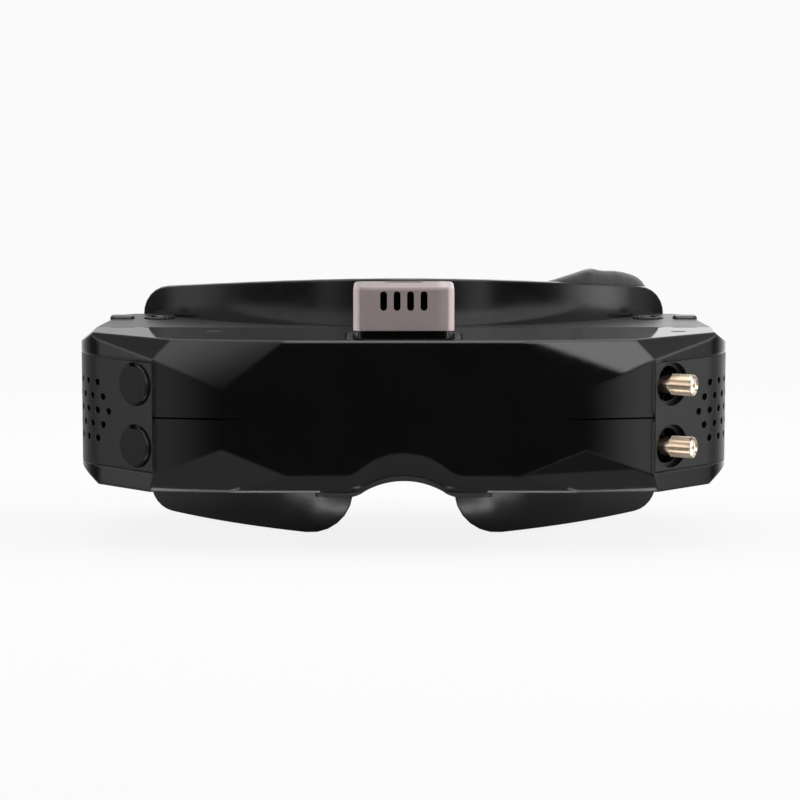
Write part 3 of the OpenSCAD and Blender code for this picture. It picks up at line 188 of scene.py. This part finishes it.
# The wall behind the goggles, paler in the middle, on the right and higher up.
skyline = 0.24 + 0.14 * right_half + (0.4 + 0.5 * right_half) * (1 - away.between(173.5, 179.5))
wall = skyline + (0.45 + 0.15 * right_half) * rise.between(8, 30)
room = DARK_ROOM + away.between(105, 150) * wall
# Low cards, down at the table: a pair near the front and one on each side.
near_side = (0.42 + 0.5 * right_half) * away.band((14.5, 29), (28, 33))
right_side = (2.5 - 2.1 * turn.between(78, 90)) * turn.band((52, 74), (92, 104))
left_side = 0.75 * turn.band((-96, -86), (-80, -56))
low_cards = (near_side + right_side + left_side) * (1 - rise.between(1, 5))
# The key on the right and the fill on the left, each cut narrower in its upper part.
high = 0.85 * rise.between(10, 13)
key = KEY * turn.band((3, 8), (96, 112)) * rise.band((6.2, 7.6), (34, 50))
key = key * (1 - high * turn.between(25, 37))
fill = FILL * turn.band((-112, -92), (-26, -4)) * rise.band((-3, 13), (34, 50))
fill = fill * (1 - high * (1 - turn.between(-46, -32)))
# The narrow card in front that the nose arch mirrors, and the one overhead.
arch = ARCH * (1 - away.between(7, 11)) * rise.between(10, 16)
overhead = OVERHEAD * rise.between(50, 62)
glow = room + low_cards + key + fill + arch + overhead
cards = make.node("Emission", {"Color": (1, 1, 1, 1), "Strength": glow})
make.node("OutputMaterial", {"Surface": cards})
tent.data.materials.append(material)

# Bright strips on the table, which only the lower edges of the chin and cheeks mirror,
# and a dim card on the right that keeps the cheek facet dark. All are seen in gloss alone.
CARD_Z = 0.3
for name, centre, size, strength in (
        ("left_chin_strip", (-37, -41.8), (26, 7.5), 8.0),
        ("right_chin_strip", (37, -41.8), (26, 7.5), 8.0),
        ("left_cheek_strip", (-67, -57), (34, 14), 5.0),
        ("right_cheek_strip", (67, -57), (34, 14), 5.0),
        ("right_cheek_card", (74, -92), (84, 34), 0.12)):
    bpy.ops.object.select_all(action="DESELECT")
    bpy.ops.mesh.primitive_plane_add(size=1, location=(centre[0] * MM, centre[1] * MM, CARD_Z * MM))
    card = bpy.context.object
    card.name = name
    card.scale = (size[0] * MM, size[1] * MM, 1)
    card.visible_camera = card.visible_diffuse = card.visible_shadow = card.visible_transmission = False
    material, make = empty_material(name)
    shine = make.node("Emission", {"Color": (1, 1, 1, 1), "Strength": strength})
    make.node("OutputMaterial", {"Surface": shine})
    card.data.materials.append(material)

for name, place, size, power in (
        ("overhead_softbox", (0, 0.1, 1.2), (1.2, 1.2), 6.5),
        ("right_softbox", (1.35, -0.04, 0.3), (0.7, 0.5), 34.0),
        ("left_softbox", (-1.35, -0.04, 0.3), (0.7, 0.5), 25.0)):
    lamp = bpy.data.lights.new(name, "AREA")
    lamp.shape = "RECTANGLE"
    lamp.size, lamp.size_y = size
    lamp.energy = power
    box = bpy.data.objects.new(name, lamp)
    box.location = place
    box.rotation_euler = (aim - Vector(place)).to_track_quat("-Z", "Y").to_euler()
    box.visible_camera = box.visible_glossy = False
    scene.collection.objects.link(box)


# ---- front shells -----------------------------------------------------
# Two thin shells of piano-black ABS, moulded with slightly crowned facets that run out
# to the corner panels, and screwed to the rear housing with a level seam between them.
def moulded(name, colour, rough, grain=0.3, depth=0.01, mottle=0.12, smudge=0.05, metal=0.0,
            specular=0.5, stretch=(1, 1, 1), rounding=0.0, crown=None, shade=None):
    """A moulded or turned surface: a fine grain of that size and depth in millimetres,
    colour that varies a little, roughness that shows faint handling marks, edges
    that look rounded to that radius and, where a shade mask is given, painted shade."""
    material, make = empty_material(name)
    place = make.node("TexCoord", output="Object")
    along = make.node("Mapping", {"Vector": place, "Scale": stretch})
    cloud = make.node("TexNoise", {"Vector": along, "Scale": 60, "Detail": 3})
    marks = make.node("TexNoise", {"Vector": along, "Scale": 220, "Detail": 5, "Roughness": 0.65})
    fine = make.node("TexNoise", {"Vector": along, "Scale": 1000 / grain, "Detail": 2})
    tint = cloud.between(0.3, 0.7).mix([c * (1 - mottle) for c in colour],
                                       [min(c * (1 + mottle), 1) for c in colour])
    rubbed = rough + smudge * (marks.between(0.45, 0.75) - 0.4)
    relief = {"Height": fine, "Distance": depth * MM, "Strength": 1.0}
    if rounding:
        relief["Normal"] = make.node("Bevel", {"Radius": rounding * MM}, samples=6)
    if crown:
        relief["Normal"] = crown(make, place, relief["Normal"])
    surface = make.node("BsdfPrincipled", {
        "Base Color": tint, "Roughness": rubbed, "Metallic": metal,
        "Specular IOR Level": specular, "Normal": make.node("Bump", relief)})
    # Painted shade: where the shade mask is 1, the surface turns to near-black diffuse.
    if shade:
        painted_shade_bsdf = make.node("BsdfDiffuse", {"Color": (*[c * 0.03 for c in colour], 1)})
        surface = make.node("MixShader", {0: shade(make, place), 1: surface, 2: painted_shade_bsdf})
    make.node("OutputMaterial", {"Surface": surface})
    return material


SEAM_Z = 38.62        # height of the seam in millimetres
SEAM_HOLD = 20        # how firmly the true normal holds at the seam's sharp edges
UPPER_FACET = (0.0977, -0.9873, 0.1254)      # normals of the facets that the crown bends
FLANK = (0.1528, -0.9882, 0.0)
UPPER_RUN = (0.375, 0.927)                   # the way across the upper facet, in x and z
UPPER_LINE, UPPER_BEND = 36.4, 0.0075        # where a facet is flat, and its tilt per millimetre
FLANK_LINE, FLANK_BEND = 60.5, 0.0062


def crowned_facets(make, place, rounded):
    """Turns the normal of the upper facets and flanks as their slight crown does, and
    keeps the rounding away from the seam, whose edges are sharp."""
    x, y, z = (part / MM for part in place.parts())
    side = x.math("ABSOLUTE", x)
    hand = x.math("SIGN", x)
    up = z - SEAM_Z
    flat = make.node("NewGeometry", output="True Normal")
    true_x, true_y, true_z = flat.parts()

    def facing(normal):
        level = hand * true_x * normal[0] + true_y * normal[1] + true_z * normal[2]
        return level.between(0.9993, 0.9997)

    run_x, run_z = UPPER_RUN
    upper = UPPER_BEND * (side * run_x + up * run_z - UPPER_LINE) * facing(UPPER_FACET)
    flank = FLANK_BEND * (side - FLANK_LINE) * facing(FLANK)
    at_seam = 1 - up.math("ABSOLUTE", up).between(0.7, 1.4)
    held = make.node("VectorMath", {0: flat, "Scale": at_seam * SEAM_HOLD}, operation="SCALE")
    outwards = hand * (upper * run_x + flank) * (1 + at_seam * SEAM_HOLD)
    tilt = make.node("CombineXYZ", {0: outwards, 1: 0.0, 2: upper * run_z})
    turned = make.node("VectorMath", {0: rounded, 1: held}, operation="ADD")
    turned = make.node("VectorMath", {0: turned, 1: tilt}, operation="ADD")
    return make.node("VectorMath", {0: turned}, operation="NORMALIZE")


def paint(material, *nodes):
    """Gives CAD nodes their material."""
    for node in nodes:
        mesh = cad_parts[node].data
        mesh.materials.clear()
        mesh.materials.append(material)


def painted_seam_shade(make, place):
    """Painted shade in the open groove of the seam, just under its line, where little light
    gets in: near-black is mixed in there, strongest on the flanks."""
    x, _, z = (part / MM for part in place.parts())
    up = z - SEAM_Z + 0.1
    # how strong the painted shade is: fainter in the middle, full on the flanks
    depth = 0.45 + 0.55 * x.math("ABSOLUTE", x).between(40, 56)
    return depth * (1 - up.math("ABSOLUTE", up).between(0.16, 0.34))


# The shells' gloss has a painted shade of near-black along the seam groove.
gloss_black = moulded("gloss_black", (0.0062, 0.0062, 0.0066), 0.055, grain=0.9, depth=0.0005,
                      smudge=0.025, rounding=1.2, crown=crowned_facets, shade=painted_seam_shade)
paint(gloss_black, "front_upper_shell", "front_lower_shell")


# ---- nose rim ---------------------------------------------------------
# A strip of soft black TPE pressed over the edge of the nose arch, with a lip under
# the lower shell on each side so that it lies softly on the wearer's nose.
soft_black = moulded("soft_black", (0.009, 0.009, 0.009), 0.42, grain=0.35, depth=0.02,
                     rounding=0.4)
paint(soft_black, "nose_rim")


# ---- rear housing -----------------------------------------------------
# The grey ABS housing behind the shells, moulded with a fine spark-eroded grain. It
# carries the controls and sockets and ends in the curve that takes the face plate.
housing_grey = moulded("housing_grey", (0.03, 0.03, 0.032), 0.36, grain=0.35, depth=0.01,
                       rounding=1.0)
paint(housing_grey, "rear_housing")


# ---- vent panels ------------------------------------------------------
# Separate matte corner panels of glass-filled nylon, each clipped in behind the shells
# by its flange. Both have the same vent holes and antenna holes.
panel_grey = moulded("panel_grey", (0.0065, 0.0065, 0.0072), 0.38, grain=0.3, depth=0.01,
                     rounding=0.35)
paint(panel_grey, "left_vent_panel", "right_vent_panel")


# ---- face plate -------------------------------------------------------
# A curved plate of satin black ABS, screwed to the back of the housing. It carries the
# foam pad, and its cheek lobes reach down on both sides of the nose.
satin_black = moulded("satin_black", (0.0055, 0.0055, 0.006), 0.17, grain=0.5, depth=0.002,
                      rounding=0.7)
paint(satin_black, "face_plate")


# ---- foam pad ---------------------------------------------------------
# A ring of dense open-cell foam with a skin of brushed knit, glued all over to the back
# of the face plate. It is thickest at the temples and pressed thin on the nose.
MERGE = 0.003         # corners closer than this many millimetres are one


def merged_copy(node, name, flat=0.4):
    """A copy of a CAD node's mesh with its corners merged and its flats made whole, where
    faces turned less than flat degrees apart count as one flat."""
    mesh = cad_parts[node].data.copy()
    mesh.name = name
    mesh.materials.clear()
    piece = bpy.data.objects.new(name, mesh)
    scene.collection.objects.link(piece)
    work = bmesh.new()
    work.from_mesh(mesh)
    bmesh.ops.remove_doubles(work, verts=work.verts, dist=MERGE * MM)
    bmesh.ops.dissolve_degenerate(work, edges=work.edges, dist=MERGE * MM)
    bmesh.ops.recalc_face_normals(work, faces=work.faces)
    bmesh.ops.dissolve_limit(work, angle_limit=math.radians(flat), verts=work.verts, edges=work.edges)
    work.to_mesh(mesh)
    work.free()
    return piece


def select_only(piece):
    bpy.ops.object.select_all(action="DESELECT")
    piece.select_set(True)
    bpy.context.view_layer.objects.active = piece


def apply_modifiers(piece):
    select_only(piece)
    for modifier in list(piece.modifiers):
        bpy.ops.object.modifier_apply(modifier=modifier.name)


def round_edges(piece, widths, segments=3):
    """Bevels edges: widths gives an edge's bevel in millimetres from its angle in degrees,
    its middle in millimetres and its two faces' normals, or 0 to leave it."""
    work = bmesh.new()
    work.from_mesh(piece.data)
    layers = work.edges.layers.float
    layer = layers.get("bevel_weight_edge") or layers.new("bevel_weight_edge")
    wanted = {}
    for edge in work.edges:
        edge[layer] = 0
        if len(edge.link_faces) == 2:
            middle = (edge.verts[0].co + edge.verts[1].co) / (2 * MM)
            normals = [face.normal for face in edge.link_faces]
            width = widths(math.degrees(edge.calc_face_angle(0)), middle, normals)
            if width:
                wanted[edge] = width
    widest = max(wanted.values(), default=0)
    for edge, width in wanted.items():
        edge[layer] = width / widest
    work.to_mesh(piece.data)
    work.free()
    if widest:
        bevel = piece.modifiers.new("rounded", "BEVEL")
        bevel.limit_method = "WEIGHT"
        bevel.width = widest * MM
        bevel.segments = segments
        bevel.use_clamp_overlap = False
        apply_modifiers(piece)


def settle_normals(piece, angle=35):
    """Smooth bevels beside flats that stay flat."""
    select_only(piece)
    bpy.ops.object.shade_smooth_by_angle(angle=math.radians(angle))
    weighted = piece.modifiers.new("weighted", "WEIGHTED_NORMAL")
    weighted.keep_sharp = True
    weighted.weight = 100
    apply_modifiers(piece)


def dress(piece, material, body, slot, *nodes):
    """Gives a finished piece its material, its body and the nodes that it stands for."""
    piece.data.materials.clear()
    piece.data.materials.append(material)
    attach(piece, body)
    if nodes:
        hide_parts(*nodes)


FOAM_CELL = 2.4       # voxel of the remesh in millimetres
FOAM_INSET = 0.5      # how far the cover is drawn in before it swells
FOAM_SWELL = 1.4      # the most that a point may then move
FOAM_FRAMES = 20      # of the cloth simulation
LIFTED = ((60.5, 16.5, 7.8), (-56, 5, 1.2))  # where its upper edge stands up: x, half width, height
LIFT_FROM, LIFT_OVER = 55, 16                # the lift starts at this height and is full past that rise
ABOVE_TABLE = 0.5


def foam_skin():
    """Brushed knit on foam: fine pile, a soft sheen and slightly uneven cells."""
    material, make = empty_material("foam")
    place = make.node("TexCoord", output="Object")
    pile = make.node("TexNoise", {"Vector": place, "Scale": 2600, "Detail": 3})
    cells = make.node("TexVoronoi", {"Vector": place, "Scale": 900})
    cloud = make.node("TexNoise", {"Vector": place, "Scale": 45, "Detail": 4})
    tint = cloud.between(0.3, 0.7).mix((0.013, 0.013, 0.014), (0.024, 0.024, 0.026))
    height = pile * 0.7 + cells * 0.5
    surface = make.node("BsdfPrincipled", {
        "Base Color": tint, "Roughness": 0.82 + 0.12 * cloud,
        "Sheen Weight": 0.35, "Sheen Roughness": 0.5,
        "Normal": make.node("Bump", {"Height": height, "Distance": 0.09 * MM})})
    make.node("OutputMaterial", {"Surface": surface})
    return material


pad = merged_copy("foam_pad", "pad")
select_only(pad)
remesh = pad.modifiers.new("even", "REMESH")
remesh.mode = "VOXEL"
remesh.voxel_size = FOAM_CELL * MM
apply_modifiers(pad)
soften = pad.modifiers.new("soften", "SMOOTH")
soften.factor, soften.iterations = 0.5, 5
apply_modifiers(pad)
for vertex in pad.data.vertices:
    vertex.co -= vertex.normal * FOAM_INSET * MM
start = [vertex.co.copy() for vertex in pad.data.vertices]
cloth = pad.modifiers.new("swell", "CLOTH")
cloth.settings.use_pressure = True
cloth.settings.uniform_pressure_force = 4
cloth.settings.tension_stiffness = cloth.settings.compression_stiffness = 40
cloth.settings.bending_stiffness = 4
cloth.settings.effector_weights.gravity = 0
cloth.point_cache.frame_end = FOAM_FRAMES
for step in range(1, FOAM_FRAMES + 1):
    scene.frame_set(step)
apply_modifiers(pad)
scene.frame_set(1)
for vertex, was in zip(pad.data.vertices, start):
    moved = vertex.co - was
    if moved.length > FOAM_SWELL * MM:
        vertex.co = was + moved.normalized() * FOAM_SWELL * MM
    share = min(max(0, (vertex.co.z / MM - LIFT_FROM) / LIFT_OVER), 1)
    for x, half, height in LIFTED:
        hump = math.exp(-((vertex.co.x / MM - x) / half) ** 2)
        vertex.co.z += height * MM * hump * share
    vertex.co.z = max(vertex.co.z, ABOVE_TABLE * MM)
settle = pad.modifiers.new("settle", "SMOOTH")
settle.factor, settle.iterations = 0.5, 3
subdivide = pad.modifiers.new("smooth", "SUBSURF")
subdivide.levels = subdivide.render_levels = 1
apply_modifiers(pad)
bpy.ops.object.shade_smooth()
dress(pad, foam_skin(), "goggles", "foam", "foam_pad")


# ---- receiver module --------------------------------------------------
# A plug-in receiver in the bay of the upper shell: a rose-grey ABS cap with four slots,
# clipped over a black base that holds the board, its two cans and the pin header.
CAP_BOX = [[c / MM for c in corner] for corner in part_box("module_cap")]
CAP_MIDDLE = Vector((0, -28.3, 69.3))
CAP_CORNER = (8.6, 14.1)                     # its front turns outwards between these, from the middle
CAP_TURN = 1.1


def painted_cap_shade(make, place):
    """Painted shade on the inside of the cap, from just behind its skin, where little light reaches."""
    x, y, z = (part / MM for part in place.parts())
    (x0, y0, _), (x1, y1, z1) = CAP_BOX
    depth = (x - x0).math("MINIMUM", x - x0, x1 - x)
    depth = depth.math("MINIMUM", depth, y - y0)
    depth = depth.math("MINIMUM", depth, y1 - y)
    depth = depth.math("MINIMUM", depth, z1 - z)
    return depth.between(0.7, 1.1)


def crowned_cap(make, place, rounded):
    """Bends the normals of the cap's front outwards near its two sides."""
    x = place.parts()[0] / MM
    side = x.math("ABSOLUTE", x).between(*CAP_CORNER) * x.math("SIGN", x)
    tilt = make.node("CombineXYZ", {0: CAP_TURN * side, 1: 0.0, 2: 0.0})
    turned = make.node("VectorMath", {0: rounded, 1: tilt}, operation="ADD")
    return make.node("VectorMath", {0: turned}, operation="NORMALIZE")


# The cap's inner walls get a painted shade of near-black.
cap_rose = moulded("cap_rose", (0.37, 0.3, 0.3), 0.4, grain=0.25, depth=0.006, mottle=0.04,
                   specular=0.2, rounding=0.5, crown=crowned_cap, shade=painted_cap_shade)


def cap_edge(angle, middle, normals):
    """The rim of the top wide and the recess in it only broken; the rest stays sharp."""
    out = middle - CAP_MIDDLE
    if angle < 12 or not all(out.dot(normal) > 2 for normal in normals):
        return 0
    if max(normal.z for normal in normals) < 0.97:
        return 0
    rim = abs(middle.x) > 12 or middle.y < -36.7 or middle.y > -20.2
    return 1.0 if rim else 0.2


inner_black = moulded("inner_black", (0.012, 0.012, 0.013), 0.45, grain=0.3, depth=0.008)
cap = merged_copy("module_cap", "receiver_cap")
round_edges(cap, cap_edge)
settle_normals(cap, 40)
dress(cap, cap_rose, "module", "cap_rose", "module_cap")
base_black = moulded("base_black", (0.003, 0.003, 0.003), 0.12, grain=0.4, depth=0.002, rounding=0.3)
paint(base_black, "module_base")
paint(inner_black, "bay_liner", "bay_socket")


def circuit_board():
    """Green solder mask over tracks, with tinned pads and dark chips."""
    material, make = empty_material("board_green")
    place = make.node("TexCoord", output="Object")
    tracks = make.node("TexVoronoi", {"Vector": place, "Scale": 420}, feature="DISTANCE_TO_EDGE")
    spots = make.node("TexVoronoi", {"Vector": place, "Scale": 900})
    chips = make.node("TexNoise", {"Vector": place, "Scale": 260, "Detail": 0})
    track = 1 - tracks.between(0.04, 0.09)
    spot = 1 - spots.between(0.14, 0.2)
    chip = chips.between(0.62, 0.64)
    mask = track.mix((0.008, 0.07, 0.03), (0.02, 0.13, 0.06))
    tinned = spot.mix(mask, (0.6, 0.58, 0.5))
    surface = make.node("BsdfPrincipled", {
        "Base Color": chip.mix(tinned, (0.012, 0.012, 0.013)), "Roughness": 0.32 + 0.12 * chip,
        "Metallic": spot * (1 - chip),
        "Normal": make.node("Bump", {"Height": track + 2 * spot + 8 * chip, "Distance": 0.03 * MM})})
    make.node("OutputMaterial", {"Surface": surface})
    return material


board_green = circuit_board()
tin = moulded("tin", (0.72, 0.72, 0.74), 0.26, grain=0.6, depth=0.003, mottle=0.06, metal=1.0)
gold = moulded("gold", (0.8, 0.67, 0.53), 0.2, grain=0.4, depth=0.0015, mottle=0.05, metal=1.0)
paint(board_green, "module_board")
paint(tin, "module_shields")
paint(gold, "module_header")


# ---- blanking plugs ---------------------------------------------------
# Round caps of black nylon pressed into the unused antenna holes of the left panel.
# Each has a chamfered rim with a notch for a fingernail and pulls straight out.
plug_black = moulded("plug_black", (0.006, 0.006, 0.0065), 0.3, grain=0.3, depth=0.006, specular=0.22)


def plug_edge(angle, middle, normals):
    """The edges of the outer face."""
    return 0.22 if angle > 25 and middle.x < -74 and max(-normal.x for normal in normals) > 0.3 else 0


for place in ("upper", "lower"):
    plug = merged_copy(f"left_{place}_plug", f"{place}_hole_plug", flat=0.2)
    round_edges(plug, plug_edge)
    settle_normals(plug, 32)
    dress(plug, plug_black, f"left_{place}_plug_body", "control_black", f"left_{place}_plug")


# ---- antenna jacks ----------------------------------------------------
# Gold-plated brass threaded jacks, one in each hole of the right panel, turned outwards.
# A hex shoulder inside carries each one on a small board; PTFE holds its contact.
JACK_AXIS = Vector((math.sin(math.radians(62)), -math.cos(math.radians(62)), 0))
JACK_AT = ((75.53, -30.63, 47.42), (75.53, -30.63, 29.82))
JACK_OUT = 6.6        # how far it stands out of the panel
THREAD_PITCH = 0.706  # 36 threads to the inch, with the radius of crest and root
CREST, ROOT = 3.08, 2.76
HEX_R, HEX_H, HEX_Z = 4.4, 1.6, -6.2         # the shoulder's radius, thickness and middle


def turned(name, stations, segments=48):
    """A turned piece about Z, modelled by extruding one ring from station to station.
    A station is a radius and a height in millimetres; a zero radius closes an end."""
    first_r, first_z = stations[0]
    bpy.ops.object.select_all(action="DESELECT")
    bpy.ops.mesh.primitive_circle_add(vertices=segments, radius=first_r * MM,
                                      location=(0, 0, first_z * MM))
    piece = bpy.context.object
    piece.name = piece.data.name = name
    bpy.ops.object.mode_set(mode="EDIT")
    r_now, z_now = first_r, first_z
    for r, z in stations[1:]:
        bpy.ops.mesh.extrude_region_move(TRANSFORM_OT_translate={"value": (0, 0, (z - z_now) * MM)})
        if abs(r - r_now) > 1e-6:
            bpy.ops.transform.resize(value=(r / r_now, r / r_now, 1), center_override=(0, 0, z * MM))
        r_now, z_now = r, z
    bpy.ops.mesh.select_all(action="SELECT")
    bpy.ops.mesh.remove_doubles(threshold=0.002 * MM)
    bpy.ops.mesh.select_all(action="DESELECT")
    bpy.ops.mesh.select_non_manifold()
    bpy.ops.mesh.fill_holes(sides=0)
    bpy.ops.mesh.select_all(action="SELECT")
    bpy.ops.mesh.normals_make_consistent(inside=False)
    bpy.ops.object.mode_set(mode="OBJECT")
    bpy.ops.object.transform_apply()
    return piece


def stand(piece, place, axis):
    """Turns a piece made about Z to lie along an axis from a point in millimetres."""
    turn_to = Vector((0, 0, 1)).rotation_difference(axis).to_matrix().to_4x4()
    piece.data.transform(Matrix.Translation(Vector(place) * MM) @ turn_to)


jack_profile = [(2.3, 2.6), (2.3, 3.0), (2.3, JACK_OUT - 0.45), (2.62, JACK_OUT), (2.8, JACK_OUT),
                (2.95, JACK_OUT - 0.12), (2.95, JACK_OUT - 0.5)]
thread_at = JACK_OUT - 0.62
while thread_at > 0.9:
    jack_profile += [(CREST, thread_at), (CREST, thread_at - 0.12),
                     (ROOT, thread_at - 0.33), (ROOT, thread_at - 0.42)]
    thread_at -= THREAD_PITCH
jack_profile += [(CREST, thread_at), (CREST, -0.1), (2.88, -0.1), (2.88, -5.4), (2.4, -5.4), (2.4, -6.9)]
for name, place in zip(("upper_jack", "lower_jack"), JACK_AT):
    jack = turned("threaded_" + name, jack_profile)
    bpy.ops.object.select_all(action="DESELECT")
    bpy.ops.mesh.primitive_cylinder_add(vertices=6, radius=HEX_R * MM, depth=HEX_H * MM,
                                        location=(0, 0, HEX_Z * MM))
    shoulder = bpy.context.object
    bpy.ops.object.transform_apply()
    round_edges(shoulder, lambda angle, middle, normals: 0.2, segments=1)
    select_only(jack)
    shoulder.select_set(True)
    bpy.ops.object.join()
    stand(jack, place, JACK_AXIS)
    select_only(jack)
    bpy.ops.object.shade_smooth_by_angle(angle=math.radians(30))
    dress(jack, gold, "goggles", "gold", name)
insulator = moulded("insulator", (0.8, 0.8, 0.77), 0.42, grain=0.5, depth=0.004, mottle=0.03)
paint(insulator, "jack_insulators")
paint(gold, "jack_contacts")
paint(board_green, "antenna_board")


# ---- optics -----------------------------------------------------------
# One unit for each eye: a frame on the housing, two steel rods and a carriage that
# slides on them with its display, and a lens barrel that a thumb wheel moves to focus.
steel = moulded("steel", (0.56, 0.56, 0.57), 0.27, grain=0.3, depth=0.002, mottle=0.06, metal=1.0,
                stretch=(0.25, 1, 1))
paint(steel, "guide_rods")


def display_glass():
    """A small colour display: dark glass over a fine grid of dots inside a black border."""
    material, make = empty_material("display")
    place = make.node("TexCoord", output="Object")
    dots = make.node("TexVoronoi", {"Vector": place, "Scale": 6000, "Randomness": 0.0})
    tint = dots.between(0.2, 0.5).mix((0.012, 0.014, 0.022), (0.004, 0.004, 0.006))
    surface = make.node("BsdfPrincipled", {
        "Base Color": tint, "Roughness": 0.06 + 0.03 * dots,
        "Normal": make.node("Bump", {"Height": dots, "Distance": 0.0005 * MM})})
    make.node("OutputMaterial", {"Surface": surface})
    return material


def coated_glass():
    """A coated glass lens with a faint green bloom and a trace of dust."""
    material, make = empty_material("lens_glass")
    place = make.node("TexCoord", output="Object")
    dust = make.node("TexNoise", {"Vector": place, "Scale": 700, "Detail": 4})
    surface = make.node("BsdfPrincipled", {
        "Base Color": dust.between(0.4, 0.7).mix((0.93, 0.97, 0.95), (0.9, 0.94, 0.92)),
        "Roughness": 0.015 + 0.03 * dust.between(0.55, 0.8), "Transmission Weight": 1.0, "IOR": 1.5,
        "Normal": make.node("Bump", {"Height": dust, "Distance": 0.0003 * MM})})
    make.node("OutputMaterial", {"Surface": surface})
    return material


control_black = moulded("control_black", (0.011, 0.011, 0.012), 0.27, grain=0.3, depth=0.006)
display = display_glass()
lens_glass = coated_glass()
for side in ("left", "right"):
    paint(inner_black, side + "_optics_frame", side + "_carriage", side + "_barrel")
    paint(display, side + "_display")
    paint(lens_glass, side + "_lens")
    paint(control_black, side + "_focus_wheel", side + "_eye_slider")


# ---- main board and heat sink -----------------------------------------
# The video board behind the front shells, on two posts of the housing, with a finned
# block of die-cast alloy on its hottest chip.
paint(board_green, "main_board")
alloy = moulded("alloy", (0.5, 0.5, 0.51), 0.38, grain=0.4, depth=0.006, mottle=0.08, metal=1.0)
paint(alloy, "heat_sink")


# ---- fans -------------------------------------------------------------
# Two small fans behind the vent holes keep the lenses from misting. Each rotor is
# moulded in one piece and spins on the shaft of its square frame.
for side in ("left", "right"):
    paint(inner_black, side + "_fan_frame", side + "_fan_rotor")


# ---- controls ---------------------------------------------------------
# Fluted jog wheels of black ABS on steel shafts that turn and press, and two smooth
# push keys, all over small switch boards under the top of the housing.
paint(steel, "left_jog_shaft", "right_jog_shaft")


def wheel_edge(angle, middle, normals):
    """The edges of the wheel's top, flutes and all."""
    return 0.16 if angle > 30 and max(normal.z for normal in normals) > 0.9 else 0


def key_edge(angle, middle, normals):
    """The edges of the key's top."""
    return 0.7 if max(normal.z for normal in normals) > 0.97 and middle.z > 60.7 else 0


for side in ("left", "right"):
    wheel = merged_copy(side + "_jog_wheel", side + "_fluted_wheel", flat=0.2)
    round_edges(wheel, wheel_edge, segments=2)
    settle_normals(wheel)
    dress(wheel, control_black, side + "_jog", "control_black", side + "_jog_wheel")
for name in ("power", "record"):
    key_cap = merged_copy(name + "_key", name + "_push_key", flat=0.2)
    round_edges(key_cap, key_edge, segments=4)
    settle_normals(key_cap)
    dress(key_cap, control_black, name + "_button", "control_black", name + "_key")
paint(board_green, "key_boards")


# ---- sockets ----------------------------------------------------------
# The power jack and the four-pole jack are black plastic; the video and card sockets are
# shells of tinned steel. All sit on two small boards inside the housing's side walls.
paint(inner_black, "power_jack", "av_jack")
paint(tin, "video_socket", "card_socket")
paint(board_green, "port_boards")


# ---- strap loops ------------------------------------------------------
# Black nylon loops on the sides of the housing that take the two ends of the head strap,
# each moulded with a base plate that is held in its pocket.
for side in ("left", "right"):
    loop = merged_copy(side + "_strap_loop", side + "_loop", flat=0.2)
    settle_normals(loop)
    dress(loop, control_black, "goggles", "control_black", side + "_strap_loop")


# ---- screws -----------------------------------------------------------
# Four pan-head steel screws hold each front shell and four more the face plate. They
# are the same screw, with a cross recess, in zinc-plated steel.
paint(steel, "shell_screws", "plate_screws")


# ---- lamps ------------------------------------------------------------
# Two smoked light guides that end just under the top of the upper shell, one on each
# side, over lamps on the key boards.
lamp = moulded("lamp", (0.006, 0.006, 0.007), 0.5, grain=0.5, depth=0.002, specular=0.2)
paint(lamp, "top_lamps")
